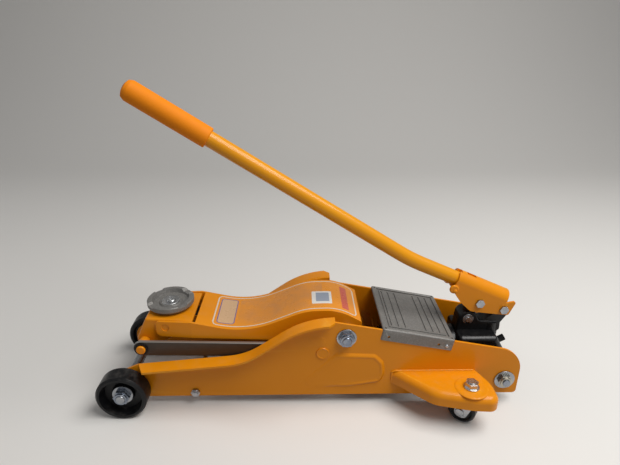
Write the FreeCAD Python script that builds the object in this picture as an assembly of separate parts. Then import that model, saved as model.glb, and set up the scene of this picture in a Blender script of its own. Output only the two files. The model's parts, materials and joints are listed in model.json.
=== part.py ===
import FreeCAD, Part
import math
import os
from FreeCAD import Vector

# A low trolley jack. Millimetres. Shapes are drawn with x measured back from the front axle,
# y across from the middle plane (positive to the jack's right) and z up from the floor.
# The export moves them, so that the origin lies on the floor under the middle of the jack.

# Clearances
TURN_GAP = 0.05
SIDE_GAP = 0.3

# Side plates
SHEET = 3.0
PLATE_BOTTOM = 15.0
PLATE_FRONT = -19.0
PLATE_REAR = 531.0
PLATE_GAP = 1.5
FLANGE_WIDTH = 19.0
FLANGE_TIP = 21.0
BEND = 2.4
HUMP_REAR = 277.7
HUMP_STEP = 7.4
REAR_SLOPE = 10.8

# Front axle and wheels
AXLE_HEIGHT = 33.0
AXLE_RADIUS = 7.0
WHEEL_RADIUS = 33.0
WHEEL_GAP = 1.5
WHEEL_WIDTH = 25.0
WHEEL_HUB_RADIUS = 13.5
WHEEL_HUB_LENGTH = 14.5
AXLE_THREAD_RADIUS = 6.0
AXLE_WASHER_RADIUS = 13.5
AXLE_WASHER = 1.7
AXLE_NUT_FLATS = 19.0
AXLE_NUT_HEIGHT = 9.0

# Front tie bolt
TIE_X = 91.4
TIE_Z = 22.0
TIE_RADIUS = 3.5

# Main pivot of the lift arm
PIVOT_X = 293.8
PIVOT_Z = 108.0
PIVOT_RADIUS = 8.0
PIVOT_WASHER_RADIUS = 13.1
PLATE_WASHER = 2.0
THREAD_END = 1.5
PIVOT_THREAD_RADIUS = 6.0
PIVOT_NUT_FLATS = 19.0
PIVOT_NUT_HEIGHT = 7.5

# Lift arm
ARM_LENGTH = 238.0
ARM_DROP = 6.0
ARM_HALF_WIDTH = 42.0
ARM_TAPER = 3.5
ARM_WALL = 3.2
ARM_COVER_START = 39.5
ARM_COVER_OVERHANG = 21.2
LIFT_ANGLE = 46.0
LEVER_LENGTH = 55.0
LEVER_PIN_RADIUS = 7.0
FRONT_PIN_RADIUS = 5.0

# Link bars
LINK_DX = 30.7
LINK_DZ = 24.5
LINK_HEIGHT = 21.0
LINK_THICKNESS = 5.5
LINK_GAP = 4.0
LINK_PIN_RADIUS = 6.0
LINK_SHOULDER_RADIUS = 7.5
COINED_RADIUS = 9.0

# Saddle and its cradle
CRADLE_TOP = 124.0
CRADLE_WALL = 4.0
CRADLE_GAP = 0.4
CRADLE_NARROWING = 5.4
SADDLE_RADIUS = 31.3
SADDLE_TOP = 137.0
SADDLE_HUB_DEPTH = 4.8
SADDLE_POST_RADIUS = 8.0

# Ram, cylinder and pump block
RAM_RADIUS = 11.0
PISTON_RADIUS = 16.0
CYLINDER_RADIUS = 21.0
TANK_RADIUS = 29.0
TANK_WALL = 2.5
CYLINDER_FRONT = 346.0
GLAND_LENGTH = 12.0
GLAND_RADIUS = 18.0
BLOCK_FRONT = 452.0
BLOCK_REAR = 528.2
BLOCK_BOTTOM = 24.0
BLOCK_TOP = 88.0
BLOCK_HALF_WIDTH = 32.0
REAR_BOLT_X = 511.7
REAR_BOLT_Z = 38.1
REAR_BOLT_RADIUS = 5.0
REAR_WASHER_RADIUS = 13.9
REAR_NUT_FLATS = 17.0
REAR_NUT_HEIGHT = 6.5
SPRING_RADIUS = 4.2
SPRING_WIRE = 1.4
SPRING_BAR_RADIUS = 3.0
SPRING_Y = 30.0
SPRING_Z = 39.0

# Release valve
VALVE_X = 519.8
VALVE_Z = 62.7
VALVE_TILT = 30.7
VALVE_RADIUS = 4.8
VALVE_LENGTH = 10.5
VALVE_STEM = 12.0
VALVE_STEM_RADIUS = 3.1

# Handle socket, its pivot bolt and its front bolt
SOCKET_PIVOT_X = 514.6
SOCKET_PIVOT_Z = 122.0
SOCKET_TILT = 23.75
SOCKET_INNER = 10.5
SOCKET_WALL = 3.0
SOCKET_LENGTH = 78.5
SOCKET_MOUTH_X = 444.9
SOCKET_MOUTH_Z = 165.3
SOCKET_BOLT_RADIUS = 4.0
SOCKET_NUT_FLATS = 11.0
CLAMP_RADIUS = 6.3
CLAMP_SHANK = 2.0
CLAMP_LUG = 2.4
FRONT_BOLT_X = 479.8
FRONT_BOLT_Z = 132.4
CAM_LOW = 9.5
CAM_RISE = 5.5
HANDLE_SWING = 120.0

# Stop lobe in front of the pump barrel, with its pin
LOBE_X = 467.0
LOBE_Z = 106.5
LOBE_RADIUS = 11.5
LOBE_HALF_WIDTH = 11.0
STOP_PIN_RADIUS = 4.0

# Pump plunger
PLUNGER_RADIUS = 6.0
PLUNGER_LEAN = 30.0
BARREL_RADIUS = 13.0

# Handle
ROD_RADIUS = 10.0
ROD_BEND_X = 381.8
ROD_BEND_RADIUS = 250.0
ROD_SLOPE = 32.3
ROD_END_X = 503.0
GRIP_REAR_X = 124.3
GRIP_RADIUS = 13.25
GRIP_LENGTH = 110.0

# Foot plate
PAD_FRONT_X = 340.3
PAD_LENGTH = 97.9
PAD_SIDE = 1.6
PAD_THICKNESS = 2.5
PAD_UNDER = 2.5
PAD_BORDER = 6.5
PAD_SKIRT = 14.0
SKIRT_SCREW_DEPTH = -8.0
PAD_CHANNEL = 3.5
PAD_GROOVE = 2.2
PAD_GROOVE_PITCH = 9.6
PAD_GROUP_STARTS = (13.0, 60.5)

# Wings and casters
WING_TOP = 54.0
WING_BOTTOM = 35.0
WING_FILLET = 9.0
WING_SEAT = 1.2
KING_X = 453.0
KING_REACH = 35.0
KING_RADIUS = 5.0
KING_NUT_FLATS = 15.0
RACE_RADIUS = 14.5
RACE_HEIGHT = 4.1
CASTER_RADIUS = 18.5
CASTER_WIDTH = 17.0
CASTER_TRAIL = 7.0
CASTER_TURN = 143.0
CASTER_AXLE_RADIUS = 4.0
FORK_SHEET = 2.5

# Places that follow from the sizes above
MIDDLE = (PLATE_REAR - WHEEL_RADIUS) / 2
FRONT_PIVOT_X = PIVOT_X - math.sqrt(ARM_LENGTH ** 2 - ARM_DROP ** 2)
FRONT_PIVOT_Z = PIVOT_Z + ARM_DROP
LINK_REAR_X = PIVOT_X - LINK_DX
LINK_REAR_Z = PIVOT_Z - LINK_DZ
LINK_FRONT_X = FRONT_PIVOT_X - LINK_DX
LINK_FRONT_Z = FRONT_PIVOT_Z - LINK_DZ
LEVER_X = PIVOT_X + LEVER_LENGTH * math.sin(math.radians(LIFT_ANGLE / 2))
LEVER_Z = PIVOT_Z - LEVER_LENGTH * math.cos(math.radians(LIFT_ANGLE / 2))
RAM_STROKE = 2 * (LEVER_X - PIVOT_X)
LEVER_LOW_Z = PIVOT_Z - LEVER_LENGTH
LINK_INSIDE = ARM_HALF_WIDTH + LINK_GAP
LINK_OUTSIDE = LINK_INSIDE + LINK_THICKNESS
PLATE_INSIDE = LINK_OUTSIDE + PLATE_GAP
PLATE_OUTSIDE = PLATE_INSIDE + SHEET
FLANGE_EDGE = PLATE_OUTSIDE + FLANGE_WIDTH
WHEEL_INSIDE = PLATE_OUTSIDE + WHEEL_GAP
WHEEL_HUB_END = WHEEL_INSIDE + WHEEL_HUB_LENGTH
ARM_NOSE_HALF_WIDTH = ARM_HALF_WIDTH - ARM_TAPER
ARM_COVER_FRONT = FRONT_PIVOT_X + ARM_COVER_START
ARM_COVER_REAR = PIVOT_X + ARM_COVER_OVERHANG
PAD_HALF_WIDTH = PLATE_OUTSIDE + PAD_SIDE
KING_Y = PLATE_OUTSIDE + KING_REACH
WING_UNDER = WING_TOP - SHEET
CROWN_TOP = WING_UNDER - RACE_HEIGHT - SIDE_GAP
CROWN_LOW = CROWN_TOP - 3
FORK_INSIDE = CASTER_WIDTH / 2 + 0.5
FORK_OUTSIDE = FORK_INSIDE + FORK_SHEET
SOCKET_OUTER = SOCKET_INNER + SOCKET_WALL
BOTH_SIDES = (("left", -1), ("right", 1))


def side_view(y):
    """Places (x, z) at this y."""
    return lambda x, z: Vector(x, y, z)


def plan_view(z):
    """Places (x, y) at this height."""
    return lambda x, y: Vector(x, y, z)


def corner_arc(before, corner, after, radius):
    """Start, middle and end of the arc that rounds a corner."""
    to_before = (before - corner).normalize()
    to_after = (after - corner).normalize()
    half = to_before.getAngle(to_after) / 2
    reach = radius / math.tan(half)
    inward = (to_before + to_after).normalize()
    middle = corner + inward * (radius / math.sin(half) - radius)
    return corner + to_before * reach, middle, corner + to_after * reach


def outline(corners, place):
    """Closed wire through (u, v, radius) corners, each rounded by its radius."""
    points = [place(u, v) for u, v, radius in corners]
    count = len(corners)
    arcs = []
    for i, (u, v, radius) in enumerate(corners):
        if radius > 0:
            arcs.append(corner_arc(points[i - 1], points[i], points[(i + 1) % count], radius))
        else:
            arcs.append((points[i], None, points[i]))
    edges = []
    for i, (start, middle, end) in enumerate(arcs):
        if middle is not None:
            edges.append(Part.Arc(start, middle, end).toShape())
        following = arcs[(i + 1) % count][0]
        if (following - end).Length > 1e-6:
            edges.append(Part.makeLine(end, following))
    return Part.Wire(edges)


def side_slab(corners, y_from, y_to):
    """Side outline filled and thickened across the jack."""
    face = Part.Face(outline(corners, side_view(y_from)))
    return face.extrude(Vector(0, y_to - y_from, 0))


def plan_slab(corners, z_from, z_to):
    """Plan outline filled and raised."""
    face = Part.Face(outline(corners, plan_view(z_from)))
    return face.extrude(Vector(0, 0, z_to - z_from))


def box(x_from, x_to, y_from, y_to, z_from, z_to):
    return Part.makeBox(x_to - x_from, y_to - y_from, z_to - z_from, Vector(x_from, y_from, z_from))


def rod(radius, start, end):
    return Part.makeCylinder(radius, (end - start).Length, start, end - start)


def cross_rod(radius, x, z, y_from, y_to):
    return Part.makeCylinder(radius, y_to - y_from, Vector(x, y_from, z), Vector(0, 1, 0))


def cross_ring(outer, inner, x, z, y_from, y_to):
    return cross_rod(outer, x, z, y_from, y_to).cut(cross_rod(inner, x, z, y_from, y_to))


def post(radius, x, y, z_from, z_to):
    return Part.makeCylinder(radius, z_to - z_from, Vector(x, y, z_from), Vector(0, 0, 1))


def turned(points, start, axis):
    """Solid turned from (radius, height) points, from start along axis."""
    wire = Part.makePolygon([Vector(radius, 0, height) for radius, height in points + points[:1]])
    solid = Part.Face(wire).revolve(Vector(0, 0, 0), Vector(0, 0, 1), 360)
    solid.Placement = FreeCAD.Placement(start, FreeCAD.Rotation(Vector(0, 0, 1), axis))
    return solid


def hexagon(flats, start, axis, height):
    """Hexagonal head with its outer corners turned off."""
    corner = flats / math.sqrt(3)
    points = [
        Vector(corner * math.cos(math.radians(angle)), corner * math.sin(math.radians(angle)), 0)
        for angle in range(0, 361, 60)
    ]
    head = Part.Face(Part.makePolygon(points)).extrude(Vector(0, 0, height))
    head = head.common(Part.makeCone(corner + height, flats / 2 - 0.4, height + (corner - flats / 2) + 0.4))
    head.Placement = FreeCAD.Placement(start, FreeCAD.Rotation(Vector(0, 0, 1), axis))
    return head


def lock_nut(flats, x, z, y, height, bore):
    """Nut with an insert collar, its seat at y and its collar outwards."""
    collar = height * 0.3
    nut = hexagon(flats, Vector(x, y, z), Vector(0, 1, 0), height - collar)
    nut = nut.fuse(cross_rod(flats * 0.44, x, z, y, y + height))
    return nut.cut(cross_rod(bore, x, z, y - 1, y + height + 1)).removeSplitter()


def washer(outer, inner, x, z, y, thickness):
    return cross_ring(outer, inner, x, z, y, y + thickness)


def to_side(shape, side):
    """The shape as drawn for the right, or its mirror image for the left."""
    if side > 0:
        return shape
    return shape.mirror(Vector(0, 0, 0), Vector(0, 1, 0))


def pair(shape):
    return Part.makeCompound([shape, to_side(shape, -1)])


def rounded_edges(shape, radius, belongs):
    """Fillets the edges whose middle point belongs to the wanted place."""
    edges = [edge for edge in shape.Edges if belongs(middle_of(edge))]
    return shape.makeFillet(radius, edges)


def middle_of(edge):
    return edge.valueAt((edge.FirstParameter + edge.LastParameter) / 2)


def upper_contour():
    """Upper edge of a side plate, from the tip to the end of the hump."""
    return [
        (FLANGE_TIP, 68.6, 0),
        (161.1, 81.9, 85),
        (238.2, 135.9, 120),
        (HUMP_REAR, 138.2, 0),
    ]


def lowered(corners, drop):
    return [(x, z - drop, radius) for x, z, radius in corners]


def side_plate():
    """Web with the flange that is bent outwards along the front and the hump."""
    top = upper_contour()
    hump_x = HUMP_REAR
    step_z = plate_edge_z(hump_x)
    web = side_slab(
        [(PLATE_FRONT, PLATE_BOTTOM, 16), (PLATE_FRONT, 50, 16)]
        + top
        + [(hump_x, step_z, 0), (PLATE_REAR, plate_edge_z(PLATE_REAR), 36), (PLATE_REAR, PLATE_BOTTOM, 5)],
        PLATE_INSIDE,
        PLATE_OUTSIDE,
    )
    strip = top + list(reversed(lowered(top, SHEET)))
    flange = side_slab(strip, PLATE_INSIDE, FLANGE_EDGE)
    edge = FLANGE_EDGE + 1
    nose = FLANGE_TIP - 1
    tail = hump_x + 1
    nose_cut = plan_slab([(nose, PLATE_OUTSIDE, 0), (nose + 10, edge, 0), (nose, edge, 0)], 0, 2 * SADDLE_TOP)
    tail_cut = plan_slab([(tail, edge - 10, 0), (tail, edge, 0), (tail - 10, edge, 0)], 0, 2 * SADDLE_TOP)
    plate = web.fuse(flange.cut(nose_cut).cut(tail_cut)).removeSplitter()
    plate = rounded_edges(
        plate,
        BEND,
        lambda p: abs(p.y - PLATE_INSIDE) < 0.01 and FLANGE_TIP < p.x < HUMP_REAR and p.z > 65,
    )
    for corners, border, height, flush, full in raised_panels():
        plate = plate.fuse(raised_panel(corners, border, height, flush, full)).removeSplitter()
        hollow = raised_panel(corners, border, height, flush, full)
        hollow.translate(Vector(0, -SHEET, 0))
        plate = plate.cut(hollow)
    for x, z, radius in (
        (0, AXLE_HEIGHT, AXLE_RADIUS),
        (TIE_X, TIE_Z, TIE_RADIUS),
        (PIVOT_X, PIVOT_Z, PIVOT_RADIUS),
        (LINK_REAR_X, LINK_REAR_Z, LINK_PIN_RADIUS),
        (REAR_BOLT_X, REAR_BOLT_Z, REAR_BOLT_RADIUS),
    ):
        plate = plate.cut(cross_rod(radius, x, z, PLATE_INSIDE - 1, PLATE_OUTSIDE + 1))
    return plate


def raised_panels():
    """Pressed panels of a side plate: corners, border, height and the stretch over which they rise."""
    lower = [
        (PIVOT_X - 13, PIVOT_Z - 24, 9),
        (PIVOT_X + 40, PIVOT_Z - 26.2, 10),
        (PIVOT_X + 51.5, PIVOT_Z - 39, 12),
        (PIVOT_X + 54, PIVOT_Z - 58, 20),
        (PIVOT_X + 48, PIVOT_Z - 72.6, 9),
        (PIVOT_X + 4, PIVOT_Z - 80, 20),
        (PIVOT_X - 66, PIVOT_Z - 80, 8),
    ]
    upper = [
        (PIVOT_X - 78, PIVOT_Z - 1, 5),
        (PIVOT_X - 27, PIVOT_Z + 2.5, 7),
        (PIVOT_X - 24, PIVOT_Z - 14, 5),
        (PIVOT_X - 75, PIVOT_Z - 16, 5),
    ]
    return (
        (lower, 6, 2.0, PIVOT_X - 60, PIVOT_X - 6),
        (upper, 4, 0.9, PIVOT_X - 72, PIVOT_X - 34),
    )


def raised_panel(corners, border, height, flush, full):
    """Panel with a sloped border that rises from the plate's face between two places."""
    middle_x = sum(x for x, z, radius in corners) / len(corners)
    middle_z = sum(z for x, z, radius in corners) / len(corners)
    reach_x = max(abs(x - middle_x) for x, z, radius in corners)
    reach_z = max(abs(z - middle_z) for x, z, radius in corners)
    top = [
        (
            middle_x + (x - middle_x) * (1 - border / reach_x),
            middle_z + (z - middle_z) * (1 - border / reach_z),
            radius * (1 - border / reach_z),
        )
        for x, z, radius in corners
    ]
    low_wire = outline(corners, side_view(PLATE_OUTSIDE))
    high_wire = outline(top, side_view(PLATE_OUTSIDE + height))
    panel = Part.makeLoft([low_wire, high_wire], True, True)
    rise = plan_slab(
        [
            (flush, PLATE_OUTSIDE, 0),
            (full, PLATE_OUTSIDE + height, 0),
            (flush - PLATE_REAR, PLATE_OUTSIDE + height, 0),
            (flush - PLATE_REAR, PLATE_OUTSIDE, 0),
        ],
        0,
        2 * SADDLE_TOP,
    )
    return panel.cut(rise)


def wing_corners(inset):
    """Plan of a wing, or of the space under it, a sheet's thickness in from its outer edge."""
    out = KING_Y - inset
    return [
        (KING_X - 97 + inset * 1.5, PLATE_OUTSIDE - inset, 0),
        (KING_X - 49 + inset * 0.5, out + 9.5, 35),
        (KING_X - 1, out + 21, 80),
        (KING_X + 31.5 - inset, out + 23.5, 13),
        (KING_X + 32 - inset, KING_Y + 4, 0),
        (KING_X + 16 - inset, PLATE_OUTSIDE - inset, 0),
    ]


def wing_body(inset, low, high):
    """Wing or the space under it, with its upper edge rounded along the outside."""
    body = plan_slab(wing_corners(inset), low, high)
    rear = KING_X + 20
    return rounded_edges(
        body,
        WING_FILLET - 1.8 * inset,
        lambda p: abs(p.z - high) < 0.01 and p.y > PLATE_OUTSIDE + 1 and (p.x < rear or p.y > KING_Y + 14),
    )


def wing_bracket():
    """Pressed wing that carries a caster, with its rounded skirt and open rear."""
    rear_window = plan_slab(
        [
            (KING_X + 10, PLATE_OUTSIDE - 1, 0),
            (KING_X + 40, PLATE_OUTSIDE - 1, 0),
            (KING_X + 40, KING_Y + 6, 0),
            (KING_X + 22, KING_Y + 6, 0),
        ],
        WING_BOTTOM - 1,
        WING_UNDER,
    )
    wing = wing_body(0, WING_BOTTOM, WING_TOP)
    wing = wing.cut(wing_body(SHEET, WING_BOTTOM - 1, WING_UNDER))
    wing = wing.cut(rear_window)
    seat = turned(
        [(0, -0.5), (21.5, -0.5), (21, 0.3), (18.5, WING_SEAT), (0, WING_SEAT)],
        Vector(KING_X, KING_Y, WING_TOP),
        Vector(0, 0, 1),
    )
    wing = wing.fuse(seat)
    wing = wing.cut(post(KING_RADIUS, KING_X, KING_Y, 0, WING_TOP + 5))
    return wing.cut(box(0, PLATE_REAR, 0, PLATE_OUTSIDE, 0, 2 * WING_TOP))


def front_wheel():
    """Nylon wheel, dished on both sides of its web, turned about the axle."""
    inside = WHEEL_INSIDE
    outside = WHEEL_INSIDE + WHEEL_WIDTH
    radius = WHEEL_RADIUS
    bore = AXLE_RADIUS + TURN_GAP
    profile = [
        (bore, inside),
        (WHEEL_HUB_RADIUS, inside),
        (WHEEL_HUB_RADIUS + 0.8, inside + 5),
        (radius - 8, inside + 5),
        (radius - 6, inside),
        (radius - 2.5, inside),
        (radius, inside + 2.5),
        (radius, outside - 2.5),
        (radius - 2.5, outside),
        (radius - 5.5, outside),
        (radius - 8.5, WHEEL_HUB_END - 3),
        (WHEEL_HUB_RADIUS + 1.5, WHEEL_HUB_END - 4),
        (WHEEL_HUB_RADIUS, WHEEL_HUB_END),
        (bore, WHEEL_HUB_END),
    ]
    return turned(profile, Vector(0, 0, AXLE_HEIGHT), Vector(0, 1, 0))


def stepped_shaft(radius, thread, x, z, shoulder, reach):
    """Shaft across the jack, thick between its shoulders and with thinner threaded ends."""
    ends = turned(
        [(0, -reach), (thread - 1, -reach), (thread, 1 - reach)]
        + [(thread, reach - 1), (thread - 1, reach), (0, reach)],
        Vector(x, 0, z),
        Vector(0, 1, 0),
    )
    return ends.fuse(cross_rod(radius, x, z, -shoulder, shoulder))


def front_axle():
    end = WHEEL_HUB_END + SIDE_GAP + AXLE_WASHER + AXLE_NUT_HEIGHT + THREAD_END
    return stepped_shaft(AXLE_RADIUS, AXLE_THREAD_RADIUS, 0, AXLE_HEIGHT, WHEEL_HUB_END + SIDE_GAP, end)


def arm_x(share):
    """Distance back at this share of the way from the arm's front pin to its pivot."""
    return FRONT_PIVOT_X + share * (PIVOT_X - FRONT_PIVOT_X)


def arm_side_corners():
    """Side outline of the lift arm, with the curved top of its cover."""
    lever_reach = LEVER_PIN_RADIUS + 8
    return [
        (FRONT_PIVOT_X - 12.5, FRONT_PIVOT_Z + 9.4, 5),
        (FRONT_PIVOT_X - 12.5, FRONT_PIVOT_Z - 13.2, 8),
        (arm_x(0.73), PIVOT_Z - 14, 60),
        (PIVOT_X - 24, LEVER_Z + 14, 18),
        (LEVER_X - lever_reach, LEVER_Z - lever_reach, 13),
        (LEVER_X + lever_reach - 1, LEVER_Z - lever_reach, 13),
        (LEVER_X + lever_reach, LEVER_Z + 12, 20),
        (ARM_COVER_REAR, PIVOT_Z - 15, 12),
        (ARM_COVER_REAR, PIVOT_Z + 14.5, 5),
        (PIVOT_X - 9.8, PIVOT_Z + 32.6, 62),
        (arm_x(0.776), PIVOT_Z + 31.6, 78),
        (arm_x(0.447), PIVOT_Z - 1.2, 120),
        (arm_x(0.147), FRONT_PIVOT_Z + 9, 24),
    ]


def arm_plan_corners(inset):
    half = ARM_HALF_WIDTH - inset
    nose = ARM_NOSE_HALF_WIDTH - inset
    front = FRONT_PIVOT_X - 20
    rear = ARM_COVER_REAR + 40
    bend = ARM_COVER_FRONT - 5
    return [
        (front, -nose, 0),
        (bend, -half, 30),
        (rear, -half, 0),
        (rear, half, 0),
        (bend, half, 30),
        (front, nose, 0),
    ]


def lift_arm():
    """Channel of pressed steel, open below, that carries the cradle in front and the lever behind."""
    half = ARM_HALF_WIDTH + 1
    outer = side_slab(arm_side_corners(), -half, half)
    outer = outer.common(plan_slab(arm_plan_corners(0), 0, 2 * SADDLE_TOP))
    inner = plan_slab(arm_plan_corners(ARM_WALL), 0, 2 * SADDLE_TOP)
    cover_space = side_slab(lowered(arm_side_corners(), ARM_WALL), -half, half)
    below = box(FRONT_PIVOT_X - 20, ARM_COVER_REAR + 30, -half, half, 0, PIVOT_Z - 8)
    front_space = box(FRONT_PIVOT_X - 20, ARM_COVER_FRONT, -half, half, 0, 2 * SADDLE_TOP)
    hollow = inner.common(cover_space.fuse(below).fuse(front_space))
    arm = outer.cut(hollow)
    for x, z, radius in (
        (FRONT_PIVOT_X, FRONT_PIVOT_Z, FRONT_PIN_RADIUS),
        (PIVOT_X, PIVOT_Z, PIVOT_RADIUS + TURN_GAP),
        (LEVER_X, LEVER_Z, LEVER_PIN_RADIUS),
    ):
        arm = arm.cut(cross_rod(radius, x, z, -half, half))
    return arm


def link_bar():
    """Flat bar with round ends between the rear and front link pins."""
    rear = Vector(LINK_REAR_X, LINK_INSIDE, LINK_REAR_Z)
    front = Vector(LINK_FRONT_X, LINK_INSIDE, LINK_FRONT_Z)
    half = LINK_HEIGHT / 2
    up = (rear - front).normalize().cross(Vector(0, -1, 0)) * half
    lower = Part.makePolygon([front - up, rear - up, rear + up, front + up, front - up])
    bar = Part.Face(lower).extrude(Vector(0, LINK_THICKNESS, 0))
    for end in (rear, front):
        bar = bar.fuse(cross_rod(half, end.x, end.z, LINK_INSIDE, LINK_OUTSIDE))
    bar = bar.removeSplitter()
    bar = bar.makeChamfer(0.8, [edge for edge in bar.Edges if edge.Length > LINK_HEIGHT])
    for end in (rear, front):
        bar = bar.cut(cross_rod(LINK_PIN_RADIUS + TURN_GAP, end.x, end.z, LINK_INSIDE - 1, LINK_OUTSIDE + 1))
    return bar


def link_rear_pin():
    """Pin fixed in the side plate, with a coined end outside and a head inside."""
    profile = [
        (0, LINK_INSIDE - SIDE_GAP - 2),
        (9, LINK_INSIDE - SIDE_GAP - 2),
        (9, LINK_INSIDE - SIDE_GAP),
        (LINK_PIN_RADIUS, LINK_INSIDE - SIDE_GAP),
        (LINK_PIN_RADIUS, PLATE_OUTSIDE),
        (COINED_RADIUS, PLATE_OUTSIDE),
        (COINED_RADIUS - 0.8, PLATE_OUTSIDE + 1.5),
        (COINED_RADIUS - 1.8, PLATE_OUTSIDE + 1.5),
        (COINED_RADIUS - 2.4, PLATE_OUTSIDE + 1),
        (0, PLATE_OUTSIDE + 1),
    ]
    return turned(profile, Vector(LINK_REAR_X, 0, LINK_REAR_Z), Vector(0, 1, 0))


def link_front_pin():
    """Shouldered pin on the cradle, with a groove for its clip."""
    wall = cradle_half_width(LINK_FRONT_X) - CRADLE_WALL - 2
    profile = [
        (0, wall),
        (LINK_PIN_RADIUS, wall),
        (LINK_PIN_RADIUS, cradle_half_width(LINK_FRONT_X) + 1),
        (LINK_SHOULDER_RADIUS, cradle_half_width(LINK_FRONT_X) + 1),
        (LINK_SHOULDER_RADIUS, LINK_INSIDE - SIDE_GAP),
        (LINK_PIN_RADIUS, LINK_INSIDE - SIDE_GAP),
        (LINK_PIN_RADIUS, LINK_OUTSIDE + SIDE_GAP),
        (LINK_PIN_RADIUS - 1.5, LINK_OUTSIDE + SIDE_GAP),
        (LINK_PIN_RADIUS - 1.5, LINK_OUTSIDE + SIDE_GAP + 1.2),
        (LINK_PIN_RADIUS, LINK_OUTSIDE + SIDE_GAP + 1.2),
        (LINK_PIN_RADIUS, LINK_OUTSIDE + 3.6),
        (LINK_PIN_RADIUS - 1, LINK_OUTSIDE + 4.6),
        (0, LINK_OUTSIDE + 4.6),
    ]
    return turned(profile, Vector(LINK_FRONT_X, 0, LINK_FRONT_Z), Vector(0, 1, 0))


def clip_ring(outer, inner, x, z, y, thickness):
    """Retaining clip, a ring with its mouth open downwards."""
    ring = cross_ring(outer, inner, x, z, y, y + thickness)
    return ring.cut(box(x - inner * 0.7, x + inner * 0.7, y - 1, y + thickness + 1, z - outer - 1, z))


def cradle_half_width(x):
    """Outside of the cradle, which widens from its front edge to the arm's cover."""
    front_x = FRONT_PIVOT_X - 27
    rear_x = ARM_COVER_FRONT - 4
    rear_half = ARM_HALF_WIDTH - ARM_WALL - CRADLE_GAP
    front_half = rear_half - CRADLE_NARROWING
    return front_half + (rear_half - front_half) * (x - front_x) / (rear_x - front_x)


def cradle_side_corners():
    return [
        (FRONT_PIVOT_X - 27, CRADLE_TOP, 4),
        (LINK_FRONT_X - 11, LINK_FRONT_Z + 4, 6),
        (LINK_FRONT_X - 10, LINK_FRONT_Z - 11, 9),
        (LINK_FRONT_X + 11, LINK_FRONT_Z - 11, 9),
        (FRONT_PIVOT_X + 14, FRONT_PIVOT_Z - 13, 12),
        (ARM_COVER_FRONT - 4, CRADLE_TOP - 10, 3),
        (ARM_COVER_FRONT - 4, CRADLE_TOP - 1.5, 0),
        (FRONT_PIVOT_X + 16, CRADLE_TOP, 0),
    ]


def saddle_cradle():
    """Folded bracket under the saddle, open below and behind."""
    front = LINK_FRONT_X - 20
    rear = ARM_COVER_FRONT + 10
    side = side_slab(cradle_side_corners(), -60, 60)
    wide = [(x, y * cradle_half_width(x), 0) for x, y in ((front, -1), (rear, -1), (rear, 1), (front, 1))]
    narrow = [(x, y - math.copysign(CRADLE_WALL, y), radius) for x, y, radius in wide]
    outer = side.common(plan_slab(wide, 0, 2 * SADDLE_TOP))
    outer = rounded_edges(
        outer,
        3,
        lambda p: abs(p.z - CRADLE_TOP) < 0.2 and abs(p.y) > 25 and abs(p.x - FRONT_PIVOT_X + 3.5) < 18.5,
    )
    hollow = plan_slab(narrow, 0, CRADLE_TOP - CRADLE_WALL)
    front_wall = side_slab(cradle_side_corners(), -60, 60)
    front_wall.translate(Vector(CRADLE_WALL, 0, 0))
    front_low = box(front, FRONT_PIVOT_X, -60, 60, 0, LINK_FRONT_Z + 4)
    rear_open = box(FRONT_PIVOT_X, rear, -60, 60, 0, CRADLE_TOP - CRADLE_WALL)
    hollow = hollow.common(front_wall.fuse(front_low).fuse(rear_open))
    cradle = outer.cut(hollow)
    cradle = cradle.cut(post(SADDLE_POST_RADIUS + TURN_GAP, FRONT_PIVOT_X, 0, 0, 2 * SADDLE_TOP))
    cradle = cradle.cut(cross_rod(FRONT_PIN_RADIUS + TURN_GAP, FRONT_PIVOT_X, FRONT_PIVOT_Z, -60, 60))
    cradle = cradle.cut(cross_rod(LINK_PIN_RADIUS, LINK_FRONT_X, LINK_FRONT_Z, -60, 60))
    return cradle


def saddle():
    """Round cast saddle with a dished face, a notched rim and its post."""
    base = CRADLE_TOP + SIDE_GAP
    post_end = FRONT_PIVOT_Z + FRONT_PIN_RADIUS + 0.6
    profile = [
        (0, post_end),
        (SADDLE_POST_RADIUS, post_end),
        (SADDLE_POST_RADIUS, base),
        (SADDLE_RADIUS - 6, base),
        (SADDLE_RADIUS, base + 6),
        (SADDLE_RADIUS, SADDLE_TOP - 1.2),
        (SADDLE_RADIUS - 1.2, SADDLE_TOP),
        (SADDLE_RADIUS - 6.5, SADDLE_TOP),
        (SADDLE_RADIUS - 8.5, SADDLE_TOP - 5.5),
        (SADDLE_RADIUS - 15.5, SADDLE_TOP - 7),
        (SADDLE_RADIUS - 17, SADDLE_TOP - SADDLE_HUB_DEPTH),
        (0, SADDLE_TOP - SADDLE_HUB_DEPTH),
    ]
    body = turned(profile, Vector(FRONT_PIVOT_X, 0, 0), Vector(0, 0, 1))
    low = SADDLE_TOP - 2.6
    high = SADDLE_TOP + 1
    notch_corners = [(-5, low, 1), (5, low, 1), (9, high, 0), (-9, high, 0)]
    notch_face = Part.Face(outline(notch_corners, lambda y, z: Vector(SADDLE_RADIUS - 11, y, z)))
    notch = notch_face.extrude(Vector(13, 0, 0))
    for quarter in range(4):
        cut = notch.copy()
        cut.rotate(Vector(0, 0, 0), Vector(0, 0, 1), 45 + 90 * quarter)
        cut.translate(Vector(FRONT_PIVOT_X, 0, 0))
        body = body.cut(cut)
    return body


def saddle_screw():
    """Socket screw in the middle of the saddle."""
    seat = SADDLE_TOP - SADDLE_HUB_DEPTH
    head = post(6, FRONT_PIVOT_X, 0, seat, seat + 3)
    socket = hexagon(6, Vector(FRONT_PIVOT_X, 0, seat + 0.8), Vector(0, 0, 1), 3)
    return head.cut(socket)


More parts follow.
